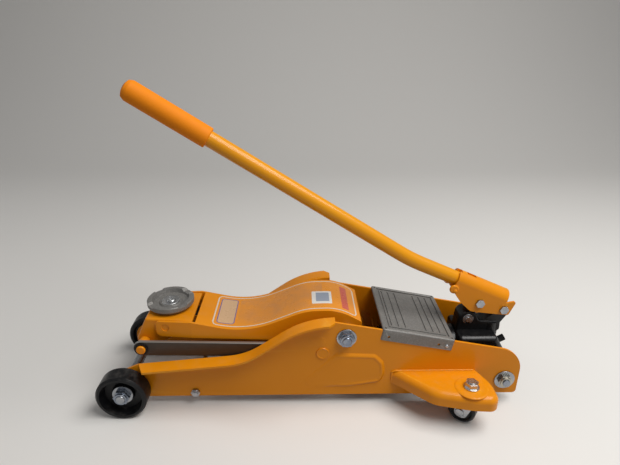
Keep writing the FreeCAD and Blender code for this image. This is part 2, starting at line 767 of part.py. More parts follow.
def ram():
    """Ram with its slotted head, piston and the cross bar for the springs."""
    head_front = LEVER_X - LEVER_PIN_RADIUS - 6.5
    head_rear = LEVER_X + LEVER_PIN_RADIUS + 6.5
    head = side_slab(
        [
            (head_front, SPRING_Z - 5, 4),
            (head_rear, SPRING_Z - 5, 4),
            (head_rear, LEVER_Z + LEVER_PIN_RADIUS + 7, 6),
            (head_front, LEVER_Z + LEVER_PIN_RADIUS + 7, 6),
        ],
        -12,
        12,
    )
    slot_half = LEVER_PIN_RADIUS + 0.6
    slot = side_slab(
        [
            (LEVER_X - slot_half, LEVER_LOW_Z - LEVER_PIN_RADIUS - 0.4, 4),
            (LEVER_X + slot_half, LEVER_LOW_Z - LEVER_PIN_RADIUS - 0.4, 4),
            (LEVER_X + slot_half, LEVER_Z + LEVER_PIN_RADIUS + 0.4, 4),
            (LEVER_X - slot_half, LEVER_Z + LEVER_PIN_RADIUS + 0.4, 4),
        ],
        -13,
        13,
    )
    shaft = rod(RAM_RADIUS, Vector(head_rear - 1, 0, LEVER_Z), Vector(piston_front(), 0, LEVER_Z))
    bar_hole = cross_rod(SPRING_BAR_RADIUS, spring_bar_x(), SPRING_Z, -13, 13)
    return head.cut(slot).fuse(shaft).cut(bar_hole).removeSplitter()


def piston_front():
    return CYLINDER_FRONT + GLAND_LENGTH + RAM_STROKE + 18


def ram_piston():
    """Piston on the ram's rear end, with a groove for its seal."""
    front = piston_front()
    profile = [
        (0, 0),
        (PISTON_RADIUS - TURN_GAP, 0),
        (PISTON_RADIUS - TURN_GAP, 4),
        (PISTON_RADIUS - 2.5, 4),
        (PISTON_RADIUS - 2.5, 8),
        (PISTON_RADIUS - TURN_GAP, 8),
        (PISTON_RADIUS - TURN_GAP, 14),
        (0, 14),
    ]
    return turned(profile, Vector(front, 0, LEVER_Z), Vector(1, 0, 0))


def piston_seal():
    profile = [
        (PISTON_RADIUS - 2.5, 4),
        (PISTON_RADIUS - 0.4, 4),
        (PISTON_RADIUS - 0.4, 8),
        (PISTON_RADIUS - 2.5, 8),
    ]
    return turned(profile, Vector(piston_front(), 0, LEVER_Z), Vector(1, 0, 0))


def spring_bar():
    """Bar across the ram's head that the two return springs hook on."""
    reach = SPRING_Y + SPRING_RADIUS
    return cross_rod(SPRING_BAR_RADIUS, spring_bar_x(), SPRING_Z, -reach, reach)


def spring_bar_x():
    return LEVER_X + 5


def ram_cylinder():
    """Pressure cylinder, closed by the block behind."""
    outer = rod(CYLINDER_RADIUS, Vector(CYLINDER_FRONT + 4, 0, LEVER_Z), Vector(BLOCK_FRONT, 0, LEVER_Z))
    gland_end = Vector(CYLINDER_FRONT + GLAND_LENGTH, 0, LEVER_Z)
    bore = rod(PISTON_RADIUS, gland_end, Vector(BLOCK_FRONT, 0, LEVER_Z))
    mouth = rod(GLAND_RADIUS, Vector(CYLINDER_FRONT, 0, LEVER_Z), gland_end)
    return outer.cut(bore).cut(mouth)


def gland_nut():
    """Ring nut that closes the cylinder and guides the ram."""
    start = Vector(CYLINDER_FRONT, 0, LEVER_Z)
    axis = Vector(1, 0, 0)
    bore = RAM_RADIUS + TURN_GAP
    flange = CYLINDER_RADIUS + 4
    profile = [
        (bore, 0),
        (flange - 1, 0),
        (flange, 1),
        (flange, 4),
        (GLAND_RADIUS, 4),
        (GLAND_RADIUS, GLAND_LENGTH),
        (bore, GLAND_LENGTH),
    ]
    nut = turned(profile, start, axis)
    for step in range(6):
        slot = box(-1, 3, flange - 5, flange + 2, -2.5, 2.5)
        slot.rotate(Vector(0, 0, 0), Vector(1, 0, 0), 60 * step)
        slot.translate(start)
        nut = nut.cut(slot)
    return nut


def oil_tank():
    """Oil tank round the cylinder, with its front end cap."""
    front = CYLINDER_FRONT + 4
    profile = [
        (CYLINDER_RADIUS, 0),
        (TANK_RADIUS - 2, 0),
        (TANK_RADIUS, 2),
        (TANK_RADIUS, BLOCK_FRONT - front),
        (TANK_RADIUS - TANK_WALL, BLOCK_FRONT - front),
        (TANK_RADIUS - TANK_WALL, 5),
        (CYLINDER_RADIUS, 5),
    ]
    return turned(profile, Vector(front, 0, LEVER_Z), Vector(1, 0, 0))


def return_spring():
    """Envelope of one return spring, from the bar to its hook."""
    front = spring_bar_x() + SPRING_BAR_RADIUS
    rear = BLOCK_FRONT - 6
    profile = [
        (SPRING_RADIUS - SPRING_WIRE, 0),
        (SPRING_RADIUS, 1),
        (SPRING_RADIUS, rear - front - 1),
        (SPRING_RADIUS - SPRING_WIRE, rear - front),
    ]
    return turned(profile, Vector(front, SPRING_Y, SPRING_Z), Vector(1, 0, 0))


def spring_hook():
    """Eye on the block that holds the spring's rear end."""
    root = BLOCK_FRONT + 8
    plate = box(BLOCK_FRONT - 6, root, SPRING_Y - 4, SPRING_Y + 2, SPRING_Z - 5, SPRING_Z + 5)
    return rounded_edges(plate, 2, lambda p: p.x < BLOCK_FRONT - 5.9 and abs(p.z - SPRING_Z) > 4.9)


def pump_block():
    """Casting with the pump barrel, the ears of the handle socket and the stop lobe."""
    tilt = math.radians(VALVE_TILT)
    face_top_x = VALVE_X - (BLOCK_TOP - 7.4 - VALVE_Z) * math.tan(tilt)
    face_low_z = VALVE_Z - (BLOCK_REAR - VALVE_X) / math.tan(tilt)
    block = side_slab(
        [
            (BLOCK_FRONT, BLOCK_BOTTOM, 3),
            (BLOCK_FRONT, BLOCK_TOP, 5),
            (face_top_x - 4, BLOCK_TOP, 4),
            (face_top_x, BLOCK_TOP - 7.4, 0),
            (BLOCK_REAR, face_low_z, 3),
            (BLOCK_REAR, BLOCK_BOTTOM, 6),
        ],
        -BLOCK_HALF_WIDTH,
        BLOCK_HALF_WIDTH,
    )
    block = rounded_edges(
        block, 7, lambda p: abs(abs(p.y) - BLOCK_HALF_WIDTH) < 0.01 and p.z > BLOCK_TOP - 9
    )
    trunnion = cross_rod(12, REAR_BOLT_X, REAR_BOLT_Z, -PLATE_INSIDE, PLATE_INSIDE)
    lobe = side_slab(
        [
            (BLOCK_FRONT + 0.5, BLOCK_TOP - 4, 0),
            (BLOCK_FRONT + 2, LOBE_Z - 4, 10),
            (LOBE_X - LOBE_RADIUS + 1, LOBE_Z + LOBE_RADIUS, 9),
            (LOBE_X + LOBE_RADIUS, LOBE_Z + LOBE_RADIUS - 2.5, 9),
            (LOBE_X + 17, LOBE_Z - 4, 6),
            (SOCKET_PIVOT_X, LOBE_Z - 5, 3),
            (SOCKET_PIVOT_X + 0.5, BLOCK_TOP, 4),
            (SOCKET_PIVOT_X - 9, BLOCK_TOP - 10, 0),
        ],
        -LOBE_HALF_WIDTH,
        LOBE_HALF_WIDTH,
    )
    lobe = rounded_edges(
        lobe, 2.5, lambda p: abs(abs(p.y) - LOBE_HALF_WIDTH) < 0.01 and p.z > BLOCK_TOP - 3
    )
    boss = cross_rod(LOBE_RADIUS - 1, LOBE_X, LOBE_Z, -LOBE_HALF_WIDTH - 1, LOBE_HALF_WIDTH + 1)
    barrel_x = SOCKET_PIVOT_X - 12.5
    barrel = post(BARREL_RADIUS, barrel_x, 0, BLOCK_TOP - 10, 99)
    ear = side_slab(
        [
            (SOCKET_PIVOT_X - 31.5, LOBE_Z - 8.5, 0),
            (SOCKET_PIVOT_X - 9, SOCKET_PIVOT_Z - 7, 4),
            (SOCKET_PIVOT_X - 8, SOCKET_PIVOT_Z + 8, 6),
            (SOCKET_PIVOT_X + 8.5, SOCKET_PIVOT_Z + 8, 6),
            (SOCKET_PIVOT_X + 8.5, SOCKET_PIVOT_Z - 8, 6),
            (SOCKET_PIVOT_X - 3.5, LOBE_Z - 12.5, 0),
        ],
        -SOCKET_INNER + 0.4,
        SOCKET_INNER - 0.4,
    )
    hooks = [spring_hook(), to_side(spring_hook(), -1)]
    block = block.fuse([trunnion, lobe, boss, barrel, ear] + hooks)
    cam_space = cross_rod(CAM_LOW + CAM_RISE + 1, SOCKET_PIVOT_X, SOCKET_PIVOT_Z, -6, 6)
    block = block.cut(cam_space)
    block = block.cut(rod(PLUNGER_RADIUS + TURN_GAP, plunger_point(5), plunger_point(56)))
    for radius, x, z in (
        (SOCKET_BOLT_RADIUS + TURN_GAP, SOCKET_PIVOT_X, SOCKET_PIVOT_Z),
        (REAR_BOLT_RADIUS, REAR_BOLT_X, REAR_BOLT_Z),
        (STOP_PIN_RADIUS, LOBE_X, LOBE_Z),
    ):
        block = block.cut(cross_rod(radius, x, z, -PLATE_OUTSIDE, PLATE_OUTSIDE))
    block = block.cut(rod(VALVE_STEM_RADIUS + 0.1, valve_point(-VALVE_STEM - 2), valve_point(1)))
    return block.removeSplitter()


def plunger_point(distance):
    """Point on the plunger's axis, this far from the socket's pivot."""
    lean = math.radians(PLUNGER_LEAN)
    return Vector(SOCKET_PIVOT_X - distance * math.sin(lean), 0, SOCKET_PIVOT_Z - distance * math.cos(lean))


def valve_point(distance):
    """Point on the release valve's axis, this far out of the block's rear face."""
    tilt = math.radians(VALVE_TILT)
    return Vector(VALVE_X + distance * math.cos(tilt), 0, VALVE_Z + distance * math.sin(tilt))


def pump_plunger():
    """Plunger under the cam, with a rounded head."""
    length = 26
    start = plunger_point(CAM_LOW + SIDE_GAP)
    axis = plunger_point(1) - plunger_point(0)
    profile = [(0, 0), (3, 0.3), (5, 1.5), (PLUNGER_RADIUS, 3.5), (PLUNGER_RADIUS, length), (0, length)]
    return turned(profile, start, axis)


def around_pivot(radius, angle):
    """Point round the socket's pivot, at this angle from straight back."""
    turn = math.radians(angle)
    return Vector(SOCKET_PIVOT_X + radius * math.cos(turn), 0, SOCKET_PIVOT_Z + radius * math.sin(turn))


def pump_cam():
    """Spiral cam on the pivot bolt, whose rise is spread evenly over the handle's swing."""
    steps = 8
    half_width = 5.5
    start = -90 - PLUNGER_LEAN
    end = start + HANDLE_SWING
    crown = end + 69
    points = [
        around_pivot(CAM_LOW + CAM_RISE * step / steps, start + HANDLE_SWING * step / steps)
        for step in range(steps + 1)
    ]
    rise = Part.BSplineCurve()
    rise.interpolate(points)
    crown_point = around_pivot(CAM_LOW, crown)
    back_point = around_pivot(CAM_LOW, (start + 360 + crown) / 2)
    back = Part.Arc(crown_point, back_point, points[0]).toShape()
    wire = Part.Wire([rise.toShape(), Part.makeLine(points[-1], crown_point), back])
    wire.translate(Vector(0, -half_width, 0))
    cam = Part.Face(wire).extrude(Vector(0, 2 * half_width, 0))
    return cam.cut(cross_rod(SOCKET_BOLT_RADIUS, SOCKET_PIVOT_X, SOCKET_PIVOT_Z, -6, 6))


def socket_axis(distance, height=0.0):
    """Point this far back from the socket's mouth along its tube, and this far above the axis."""
    tilt = math.radians(SOCKET_TILT)
    return Vector(
        SOCKET_MOUTH_X + distance * math.cos(tilt) + height * math.sin(tilt),
        0,
        SOCKET_MOUTH_Z - distance * math.sin(tilt) + height * math.cos(tilt),
    )


def handle_socket():
    """Sheet rolled over the handle's end, with two cheeks down to the pivot."""
    length = SOCKET_LENGTH
    top_front = socket_axis(0, SOCKET_OUTER + 1)
    low_front = socket_axis(0, -SOCKET_OUTER)
    top_rear = socket_axis(length, SOCKET_OUTER + 1)
    mid_rear = socket_axis(length, -2)
    side = side_slab(
        [
            (top_front.x, top_front.z, 0),
            (low_front.x, low_front.z, 3),
            (SOCKET_PIVOT_X - 61.5, SOCKET_PIVOT_Z + 11.6, 8),
            (SOCKET_PIVOT_X - 46.2, SOCKET_PIVOT_Z - 2.6, 12),
            (SOCKET_PIVOT_X + 6.5, SOCKET_PIVOT_Z - 9.4, 6),
            (SOCKET_PIVOT_X + 15.9, SOCKET_PIVOT_Z + 12, 4),
            (mid_rear.x, mid_rear.z, 0),
            (top_rear.x, top_rear.z, 0),
        ],
        -SOCKET_OUTER,
        SOCKET_OUTER,
    )
    start = socket_axis(-5)
    end = socket_axis(length + 5)
    round_top = rod(SOCKET_OUTER, start, end)
    cheeks = box(0, length + 10, -SOCKET_OUTER, SOCKET_OUTER, -60, 0)
    cheeks.rotate(Vector(0, 0, 0), Vector(0, 1, 0), SOCKET_TILT)
    cheeks.translate(start)
    inner_top = rod(SOCKET_INNER, start, end)
    space = box(-10, length + 30, -SOCKET_INNER, SOCKET_INNER, -80, 0)
    space.rotate(Vector(0, 0, 0), Vector(0, 1, 0), SOCKET_TILT)
    space.translate(start)
    socket = side.common(round_top.fuse(cheeks)).cut(inner_top).cut(space)
    window = box(12, 26, -4, 4, 0, 30)
    notch = box(-6, 4, -5, 5, 0, 30)
    for opening in (window, notch):
        opening.rotate(Vector(0, 0, 0), Vector(0, 1, 0), SOCKET_TILT)
        opening.translate(socket_axis(0))
        socket = socket.cut(opening)
    for x, z in ((SOCKET_PIVOT_X, SOCKET_PIVOT_Z), (FRONT_BOLT_X, FRONT_BOLT_Z)):
        socket = socket.cut(cross_rod(SOCKET_BOLT_RADIUS, x, z, -60, 60))
    clamp = clamp_place()
    lug = socket_axis(1, -SOCKET_INNER - 0.4)
    for side in (-1, 1):
        profile = [
            (0, 0),
            (CLAMP_RADIUS, 0),
            (CLAMP_RADIUS, CLAMP_LUG / 2),
            (CLAMP_RADIUS - 1.4, CLAMP_LUG),
            (0, CLAMP_LUG),
        ]
        start = Vector(lug.x, side * SOCKET_OUTER, lug.z)
        socket = socket.fuse(turned(profile, start, Vector(0, side, 0)))
    socket = socket.cut(cross_rod(CLAMP_SHANK, clamp.x, clamp.z, -PLATE_OUTSIDE, PLATE_OUTSIDE))
    return socket.removeSplitter()


def clamp_place():
    """Middle of the clamp's bolt, close under the handle's rod."""
    return socket_axis(3, -ROD_RADIUS - CLAMP_SHANK - 0.6)


def socket_bolt(x, z):
    """Bolt across the two cheeks, with a head on one side and a nut on the other."""
    length = SOCKET_OUTER
    shank = cross_rod(SOCKET_BOLT_RADIUS, x, z, -length, length + 5)
    head = hexagon(SOCKET_NUT_FLATS, Vector(x, -length, z), Vector(0, -1, 0), 3.2)
    return shank.fuse(head).removeSplitter()


def socket_nut(x, z):
    return lock_nut(SOCKET_NUT_FLATS, x, z, SOCKET_OUTER, 5, SOCKET_BOLT_RADIUS)


def clamp_bolt():
    """Bolt through the clamp's lugs, with a domed end on both sides."""
    place = clamp_place()
    seat = SOCKET_OUTER + CLAMP_LUG
    bolt = cross_rod(CLAMP_SHANK, place.x, place.z, -seat, seat)
    for side in (-1, 1):
        start = Vector(place.x, side * seat, place.z)
        dome = turned([(0, 0), (3.2, 0), (2.8, 0.8), (1.6, 1.4), (0, 1.6)], start, Vector(0, side, 0))
        bolt = bolt.fuse(dome)
    return bolt


def rod_bend():
    """Corner of the handle's rod, in line with the socket."""
    tilt = math.tan(math.radians(SOCKET_TILT))
    return Vector(ROD_BEND_X, 0, SOCKET_MOUTH_Z + tilt * (SOCKET_MOUTH_X - ROD_BEND_X))


def rod_front(x):
    """Point of the rod's front stretch."""
    bend = rod_bend()
    return Vector(x, 0, bend.z + math.tan(math.radians(ROD_SLOPE)) * (bend.x - x))


def handle_rod():
    """Bent steel bar from the grip into the socket."""
    bend = rod_bend()
    front = rod_front(GRIP_REAR_X - GRIP_LENGTH * 0.6)
    tilt = math.tan(math.radians(SOCKET_TILT))
    rear = Vector(ROD_END_X, 0, SOCKET_MOUTH_Z - tilt * (ROD_END_X - SOCKET_MOUTH_X))
    start, middle, end = corner_arc(front, bend, rear, ROD_BEND_RADIUS)
    path = Part.Wire(
        [Part.makeLine(front, start), Part.Arc(start, middle, end).toShape(), Part.makeLine(end, rear)]
    )
    ring = Part.Wire([Part.makeCircle(ROD_RADIUS, front, start - front)])
    return path.makePipeShell([ring], True, True)


def handle_grip():
    """Round grip over the rod's end, with a soft closed tip."""
    start = rod_front(GRIP_REAR_X)
    axis = rod_front(GRIP_REAR_X - 10) - start
    bore_end = GRIP_LENGTH * 0.6 / math.cos(math.radians(ROD_SLOPE))
    radius = GRIP_RADIUS
    profile = [
        (ROD_RADIUS, 0),
        (radius - 1, 0),
        (radius, 1),
        (radius, GRIP_LENGTH - 7),
        (radius - 2.2, GRIP_LENGTH - 2.2),
        (radius - 7, GRIP_LENGTH),
        (0, GRIP_LENGTH),
        (0, bore_end),
        (ROD_RADIUS, bore_end),
    ]
    return turned(profile, start, axis)


def foot_plate():
    """Cast plate over the frame: a border, a grooved field inside a channel, and two side skirts."""
    length = PAD_LENGTH
    half = PAD_HALF_WIDTH
    top = PAD_THICKNESS
    plate = plan_slab(
        [(0, -half, 3), (length, -half, 3), (length, half, 3), (0, half, 3)], -PAD_SKIRT, top
    )
    plate = rounded_edges(plate, PAD_THICKNESS * 0.7, lambda p: abs(p.z - top) < 0.01)
    plate = plate.cut(box(-5, length + 5, -PLATE_OUTSIDE, PLATE_OUTSIDE, -PAD_SKIRT - 1, 0))
    inner_half = PLATE_INSIDE - SIDE_GAP
    plate = plate.fuse(box(2, length - 2, -inner_half, inner_half, -PAD_UNDER, 0.5))
    border = PAD_BORDER
    field = PAD_BORDER + PAD_CHANNEL
    tray = box(border, length - border, border - half, half - border, top - 1.6, top + 1)
    raised = box(field, length - field, field - half, half - field, top - 1.6, top - 0.5)
    plate = plate.cut(tray.cut(raised))
    for start in PAD_GROUP_STARTS:
        for step in range(3):
            x = start + step * PAD_GROOVE_PITCH
            groove_end = half - field - 3
            plate = plate.cut(
                box(x - PAD_GROOVE / 2, x + PAD_GROOVE / 2, -groove_end, groove_end, top - 1.7, top + 1)
            )
    for x in (4.2, length - 4.2):
        for y in (4.2 - half, half - 4.2):
            plate = plate.cut(post(1.6, x, y, top - 2, top + 1))
    for x in (10, length - 20):
        plate = plate.cut(cross_rod(1.9, x, SKIRT_SCREW_DEPTH, -half - 1, half + 1))
    plate.rotate(Vector(0, 0, 0), Vector(0, 1, 0), REAR_SLOPE)
    plate.translate(pad_point(0, 0, 0))
    return plate


def plate_edge_z(x):
    """Height of a side plate's upper edge behind the hump."""
    hump_x, hump_z, radius = upper_contour()[-1]
    return hump_z - HUMP_STEP - math.tan(math.radians(REAR_SLOPE)) * (x - hump_x)


def pad_point(along, y, height):
    """Point of the foot plate: this far back along it and this high over the plates' edge."""
    slope = math.radians(REAR_SLOPE)
    return Vector(
        PAD_FRONT_X + along * math.cos(slope) + height * math.sin(slope),
        y,
        plate_edge_z(PAD_FRONT_X) - along * math.sin(slope) + height * math.cos(slope),
    )


def foot_plate_screws():
    """Screws at the rear of the side skirts."""
    place = pad_point(PAD_LENGTH - 9, 0, SKIRT_SCREW_DEPTH)
    head = turned(
        [(0, 0), (2.6, 0), (2.0, 1.2), (0, 1.4)], Vector(place.x, PAD_HALF_WIDTH, place.z), Vector(0, 1, 0)
    )
    return pair(head)


def caster_point(along, across, z):
    """Point in the caster's own directions: along its trail and across its wheel."""
    turn = math.radians(360 - CASTER_TURN)
    return Vector(
        KING_X + along * math.cos(turn) - across * math.sin(turn),
        KING_Y + along * math.sin(turn) + across * math.cos(turn),
        z,
    )


def placed_caster(shape):
    """Turns a shape drawn with its trail along +x and its king pin at the origin."""
    shape.rotate(Vector(0, 0, 0), Vector(0, 0, 1), 360 - CASTER_TURN)
    shape.translate(Vector(KING_X, KING_Y, 0))
    return shape


def caster_fork():
    """Pressed fork: a round crown under the race and two cheeks down to the axle."""
    crown = plan_slab(
        [
            (-12, -FORK_OUTSIDE, 6),
            (12, -FORK_OUTSIDE, 6),
            (12, FORK_OUTSIDE, 6),
            (-12, FORK_OUTSIDE, 6),
        ],
        CROWN_LOW,
        CROWN_TOP,
    )
    cheek = side_slab(
        [
            (-11, CROWN_TOP, 0),
            (-9, CROWN_LOW - 9, 10),
            (CASTER_TRAIL - 7.5, CASTER_RADIUS - 7.5, 7),
            (CASTER_TRAIL + 7.5, CASTER_RADIUS - 7.5, 7),
            (CASTER_TRAIL + 6, CROWN_LOW - 10, 10),
            (11, CROWN_TOP, 0),
        ],
        FORK_INSIDE,
        FORK_OUTSIDE,
    )
    fork = crown.fuse([cheek, to_side(cheek, -1)]).removeSplitter()
    fork = fork.cut(post(KING_RADIUS + TURN_GAP, 0, 0, 0, WING_TOP))
    fork = fork.cut(cross_rod(CASTER_AXLE_RADIUS, CASTER_TRAIL, CASTER_RADIUS, -20, 20))
    return placed_caster(fork)


def caster_wheel():
    radius = CASTER_RADIUS
    half = CASTER_WIDTH / 2
    bore = CASTER_AXLE_RADIUS + TURN_GAP
    profile = [
        (bore, -half),
        (7, -half),
        (8, -half + 2),
        (radius - 5.5, -half + 2),
        (radius - 4, -half),
        (radius - 2.5, -half),
        (radius, -half + 3),
        (radius, half - 3),
        (radius - 2.5, half),
        (radius - 4, half),
        (radius - 5.5, half - 2),
        (8, half - 2),
        (7, half),
        (bore, half),
    ]
    return placed_caster(turned(profile, Vector(CASTER_TRAIL, 0, CASTER_RADIUS), Vector(0, 1, 0)))


def caster_axle():
    """Riveted pin through the fork's cheeks."""
    pin = cross_rod(CASTER_AXLE_RADIUS, CASTER_TRAIL, CASTER_RADIUS, -FORK_OUTSIDE, FORK_OUTSIDE)
    for side in (-1, 1):
        start = Vector(CASTER_TRAIL, side * FORK_OUTSIDE, CASTER_RADIUS)
        pin = pin.fuse(turned([(0, 0), (6, 0), (5.2, 1.6), (0, 2.2)], start, Vector(0, side, 0)))
    return placed_caster(pin)


def king_bolt():
    """Bolt through the wing, the race and the fork's crown."""
    head_top = CROWN_LOW - SIDE_GAP
    shank = post(KING_RADIUS, KING_X, KING_Y, head_top, WING_TOP + WING_SEAT + 9)
    head = post(KING_RADIUS + 2, KING_X, KING_Y, head_top - 2.8, head_top)
    return shank.fuse(head).removeSplitter()


def king_nut():
    """Flanged nut on top of the wing."""
    flange = 1.6
    seat = WING_TOP + WING_SEAT
    nut = hexagon(KING_NUT_FLATS, Vector(KING_X, KING_Y, seat + flange), Vector(0, 0, 1), 6.5)
    nut = nut.fuse(post(KING_NUT_FLATS / 2 + 2.5, KING_X, KING_Y, seat, seat + flange))
    return nut.cut(post(KING_RADIUS, KING_X, KING_Y, seat, seat + 12))


def caster_race():
    """Ball race between the wing and the fork's crown."""
    profile = [
        (KING_RADIUS, 0),
        (RACE_RADIUS, 0),
        (RACE_RADIUS, 1.5),
        (RACE_RADIUS - 4, RACE_HEIGHT),
        (RACE_RADIUS - 7, RACE_HEIGHT),
        (KING_RADIUS, 1.5),
    ]
    return turned(profile, Vector(KING_X, KING_Y, WING_UNDER), Vector(0, 0, -1))


def release_valve():
    """Knurled knob of the release valve, with its stem in the block."""
    seat = VALVE_STEM + SIDE_GAP
    end = VALVE_STEM + VALVE_LENGTH
    start = valve_point(-VALVE_STEM)
    axis = valve_point(1) - valve_point(0)
    profile = [
        (0, 0),
        (VALVE_STEM_RADIUS, 0),
        (VALVE_STEM_RADIUS, seat),
        (VALVE_RADIUS, seat),
        (VALVE_RADIUS, end - 1),
        (VALVE_RADIUS - 1, end),
        (0, end),
    ]
    return turned(profile, start, axis)


def bolt_across(radius, x, z, reach):
    return cross_rod(radius, x, z, -reach, reach)


def spacer(outer, bore, x, z, y_from, y_to):
    return cross_ring(outer, bore, x, z, y_from, y_to)


def frame_nodes():
    nodes = {}
    for name, side in BOTH_SIDES:
        nodes[name + "_side_plate"] = to_side(side_plate(), side)
        nodes[name + "_wing_bracket"] = to_side(wing_bracket(), side)
    nodes["front_axle"] = front_axle()
    nodes["axle_spacers"] = pair(
        spacer(AXLE_RADIUS + 4, AXLE_RADIUS, 0, AXLE_HEIGHT, PLATE_OUTSIDE, WHEEL_INSIDE - SIDE_GAP)
    )
    axle_seat = WHEEL_HUB_END + SIDE_GAP
    axle_washer = washer(AXLE_WASHER_RADIUS, AXLE_THREAD_RADIUS, 0, AXLE_HEIGHT, axle_seat, AXLE_WASHER)
    nodes["axle_washers"] = pair(axle_washer)
    nodes["axle_nuts"] = pair(
        lock_nut(
            AXLE_NUT_FLATS, 0, AXLE_HEIGHT, axle_seat + AXLE_WASHER, AXLE_NUT_HEIGHT, AXLE_THREAD_RADIUS
        )
    )
    nodes["front_tie_bolt"] = bolt_across(TIE_RADIUS, TIE_X, TIE_Z, PLATE_OUTSIDE + 6)
    nodes["tie_nuts"] = pair(lock_nut(11, TIE_X, TIE_Z, PLATE_OUTSIDE, 5, TIE_RADIUS))
    nut_seat = PLATE_OUTSIDE + PLATE_WASHER
    nodes["main_pivot_shaft"] = stepped_shaft(
        PIVOT_RADIUS,
        PIVOT_THREAD_RADIUS,
        PIVOT_X,
        PIVOT_Z,
        PLATE_OUTSIDE,
        nut_seat + PIVOT_NUT_HEIGHT + THREAD_END,
    )
    nodes["pivot_spacers"] = pair(
        spacer(13, PIVOT_RADIUS, PIVOT_X, PIVOT_Z, ARM_HALF_WIDTH + SIDE_GAP, PLATE_INSIDE)
    )
    nodes["pivot_nuts"] = pair(
        lock_nut(PIVOT_NUT_FLATS, PIVOT_X, PIVOT_Z, nut_seat, PIVOT_NUT_HEIGHT, PIVOT_THREAD_RADIUS)
    )
    nodes["link_rear_pins"] = pair(link_rear_pin())
    rear_reach = nut_seat + REAR_NUT_HEIGHT + THREAD_END
    nodes["rear_bolt"] = bolt_across(REAR_BOLT_RADIUS, REAR_BOLT_X, REAR_BOLT_Z, rear_reach)
    washers = []
    for outer, inner, x, z in (
        (PIVOT_WASHER_RADIUS, PIVOT_THREAD_RADIUS, PIVOT_X, PIVOT_Z),
        (REAR_WASHER_RADIUS, REAR_BOLT_RADIUS, REAR_BOLT_X, REAR_BOLT_Z),
    ):
        washers.append(pair(washer(outer, inner, x, z, PLATE_OUTSIDE, PLATE_WASHER)))
    nodes["plate_washers"] = Part.makeCompound(washers)
    nodes["rear_nuts"] = pair(
        lock_nut(REAR_NUT_FLATS, REAR_BOLT_X, REAR_BOLT_Z, nut_seat, REAR_NUT_HEIGHT, REAR_BOLT_RADIUS)
    )
    nodes["foot_plate"] = foot_plate()
    nodes["foot_plate_screws"] = foot_plate_screws()
    nodes["king_bolts"] = pair(king_bolt())
    nodes["king_nuts"] = pair(king_nut())
    nodes["caster_races"] = pair(caster_race())
    return nodes


def unit_nodes():
    pin_end = LOBE_HALF_WIDTH + 4
    clip = clip_ring(7.5, STOP_PIN_RADIUS, LOBE_X, LOBE_Z, LOBE_HALF_WIDTH + 1 + SIDE_GAP, 1.2)
    return {
        "pump_block": pump_block(),
        "ram_cylinder": ram_cylinder(),
        "gland_nut": gland_nut(),
        "oil_tank": oil_tank(),
        "stop_pin": cross_rod(STOP_PIN_RADIUS, LOBE_X, LOBE_Z, -pin_end, pin_end),
        "stop_pin_clips": pair(clip),
        "ram": ram(),
        "ram_piston": ram_piston(),
        "piston_seal": piston_seal(),
        "spring_bar": spring_bar(),
        "return_springs": pair(return_spring()),
        "release_valve": release_valve(),
        "pump_plunger": pump_plunger(),
    }


def lift_nodes():
    nodes = {
        "lift_arm": lift_arm(),
        "arm_front_pin": cross_rod(
            FRONT_PIN_RADIUS, FRONT_PIVOT_X, FRONT_PIVOT_Z, -ARM_NOSE_HALF_WIDTH, ARM_NOSE_HALF_WIDTH
        ),
        "lever_pin": cross_rod(LEVER_PIN_RADIUS, LEVER_X, LEVER_Z, -ARM_HALF_WIDTH, ARM_HALF_WIDTH),
        "saddle_cradle": saddle_cradle(),
        "link_front_pins": pair(link_front_pin()),
        "link_clips": pair(
            clip_ring(9, LINK_PIN_RADIUS - 1.5, LINK_FRONT_X, LINK_FRONT_Z, LINK_OUTSIDE + SIDE_GAP, 1.2)
        ),
        "saddle": saddle(),
        "saddle_screw": saddle_screw(),
    }
    for name, side in BOTH_SIDES:
        nodes[name + "_link_bar"] = to_side(link_bar(), side)
    return nodes


def handle_nodes():
    bolts = ((SOCKET_PIVOT_X, SOCKET_PIVOT_Z), (FRONT_BOLT_X, FRONT_BOLT_Z))
    return {
        "handle_socket": handle_socket(),
        "socket_bolts": Part.makeCompound(
            [socket_bolt(x, z) for x, z in bolts] + [socket_nut(x, z) for x, z in bolts]
        ),
        "clamp_bolt": clamp_bolt(),
        "pump_cam": pump_cam(),
        "handle_rod": handle_rod(),
        "handle_grip": handle_grip(),
    }


def rolling_nodes():
    nodes = {}
    for name, side in BOTH_SIDES:
        nodes[name + "_front_wheel"] = to_side(front_wheel(), side)
        nodes[name + "_caster_fork"] = to_side(caster_fork(), side)
        nodes[name + "_caster_wheel"] = to_side(caster_wheel(), side)
        nodes[name + "_caster_axle"] = to_side(caster_axle(), side)
    return nodes


def export(nodes):
    os.makedirs("parts", exist_ok=True)
    for name, shape in nodes.items():
        moved = shape.copy()
        moved.translate(Vector(-MIDDLE, 0, 0))
        moved.exportStep("parts/" + name + ".step")


def main():
    nodes = {}
    for group in (frame_nodes(), unit_nodes(), lift_nodes(), handle_nodes(), rolling_nodes()):
        nodes.update(group)
    export(nodes)


main()
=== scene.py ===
import json
import math

import bpy
from mathutils import Matrix, Vector
from mathutils.bvhtree import BVHTree


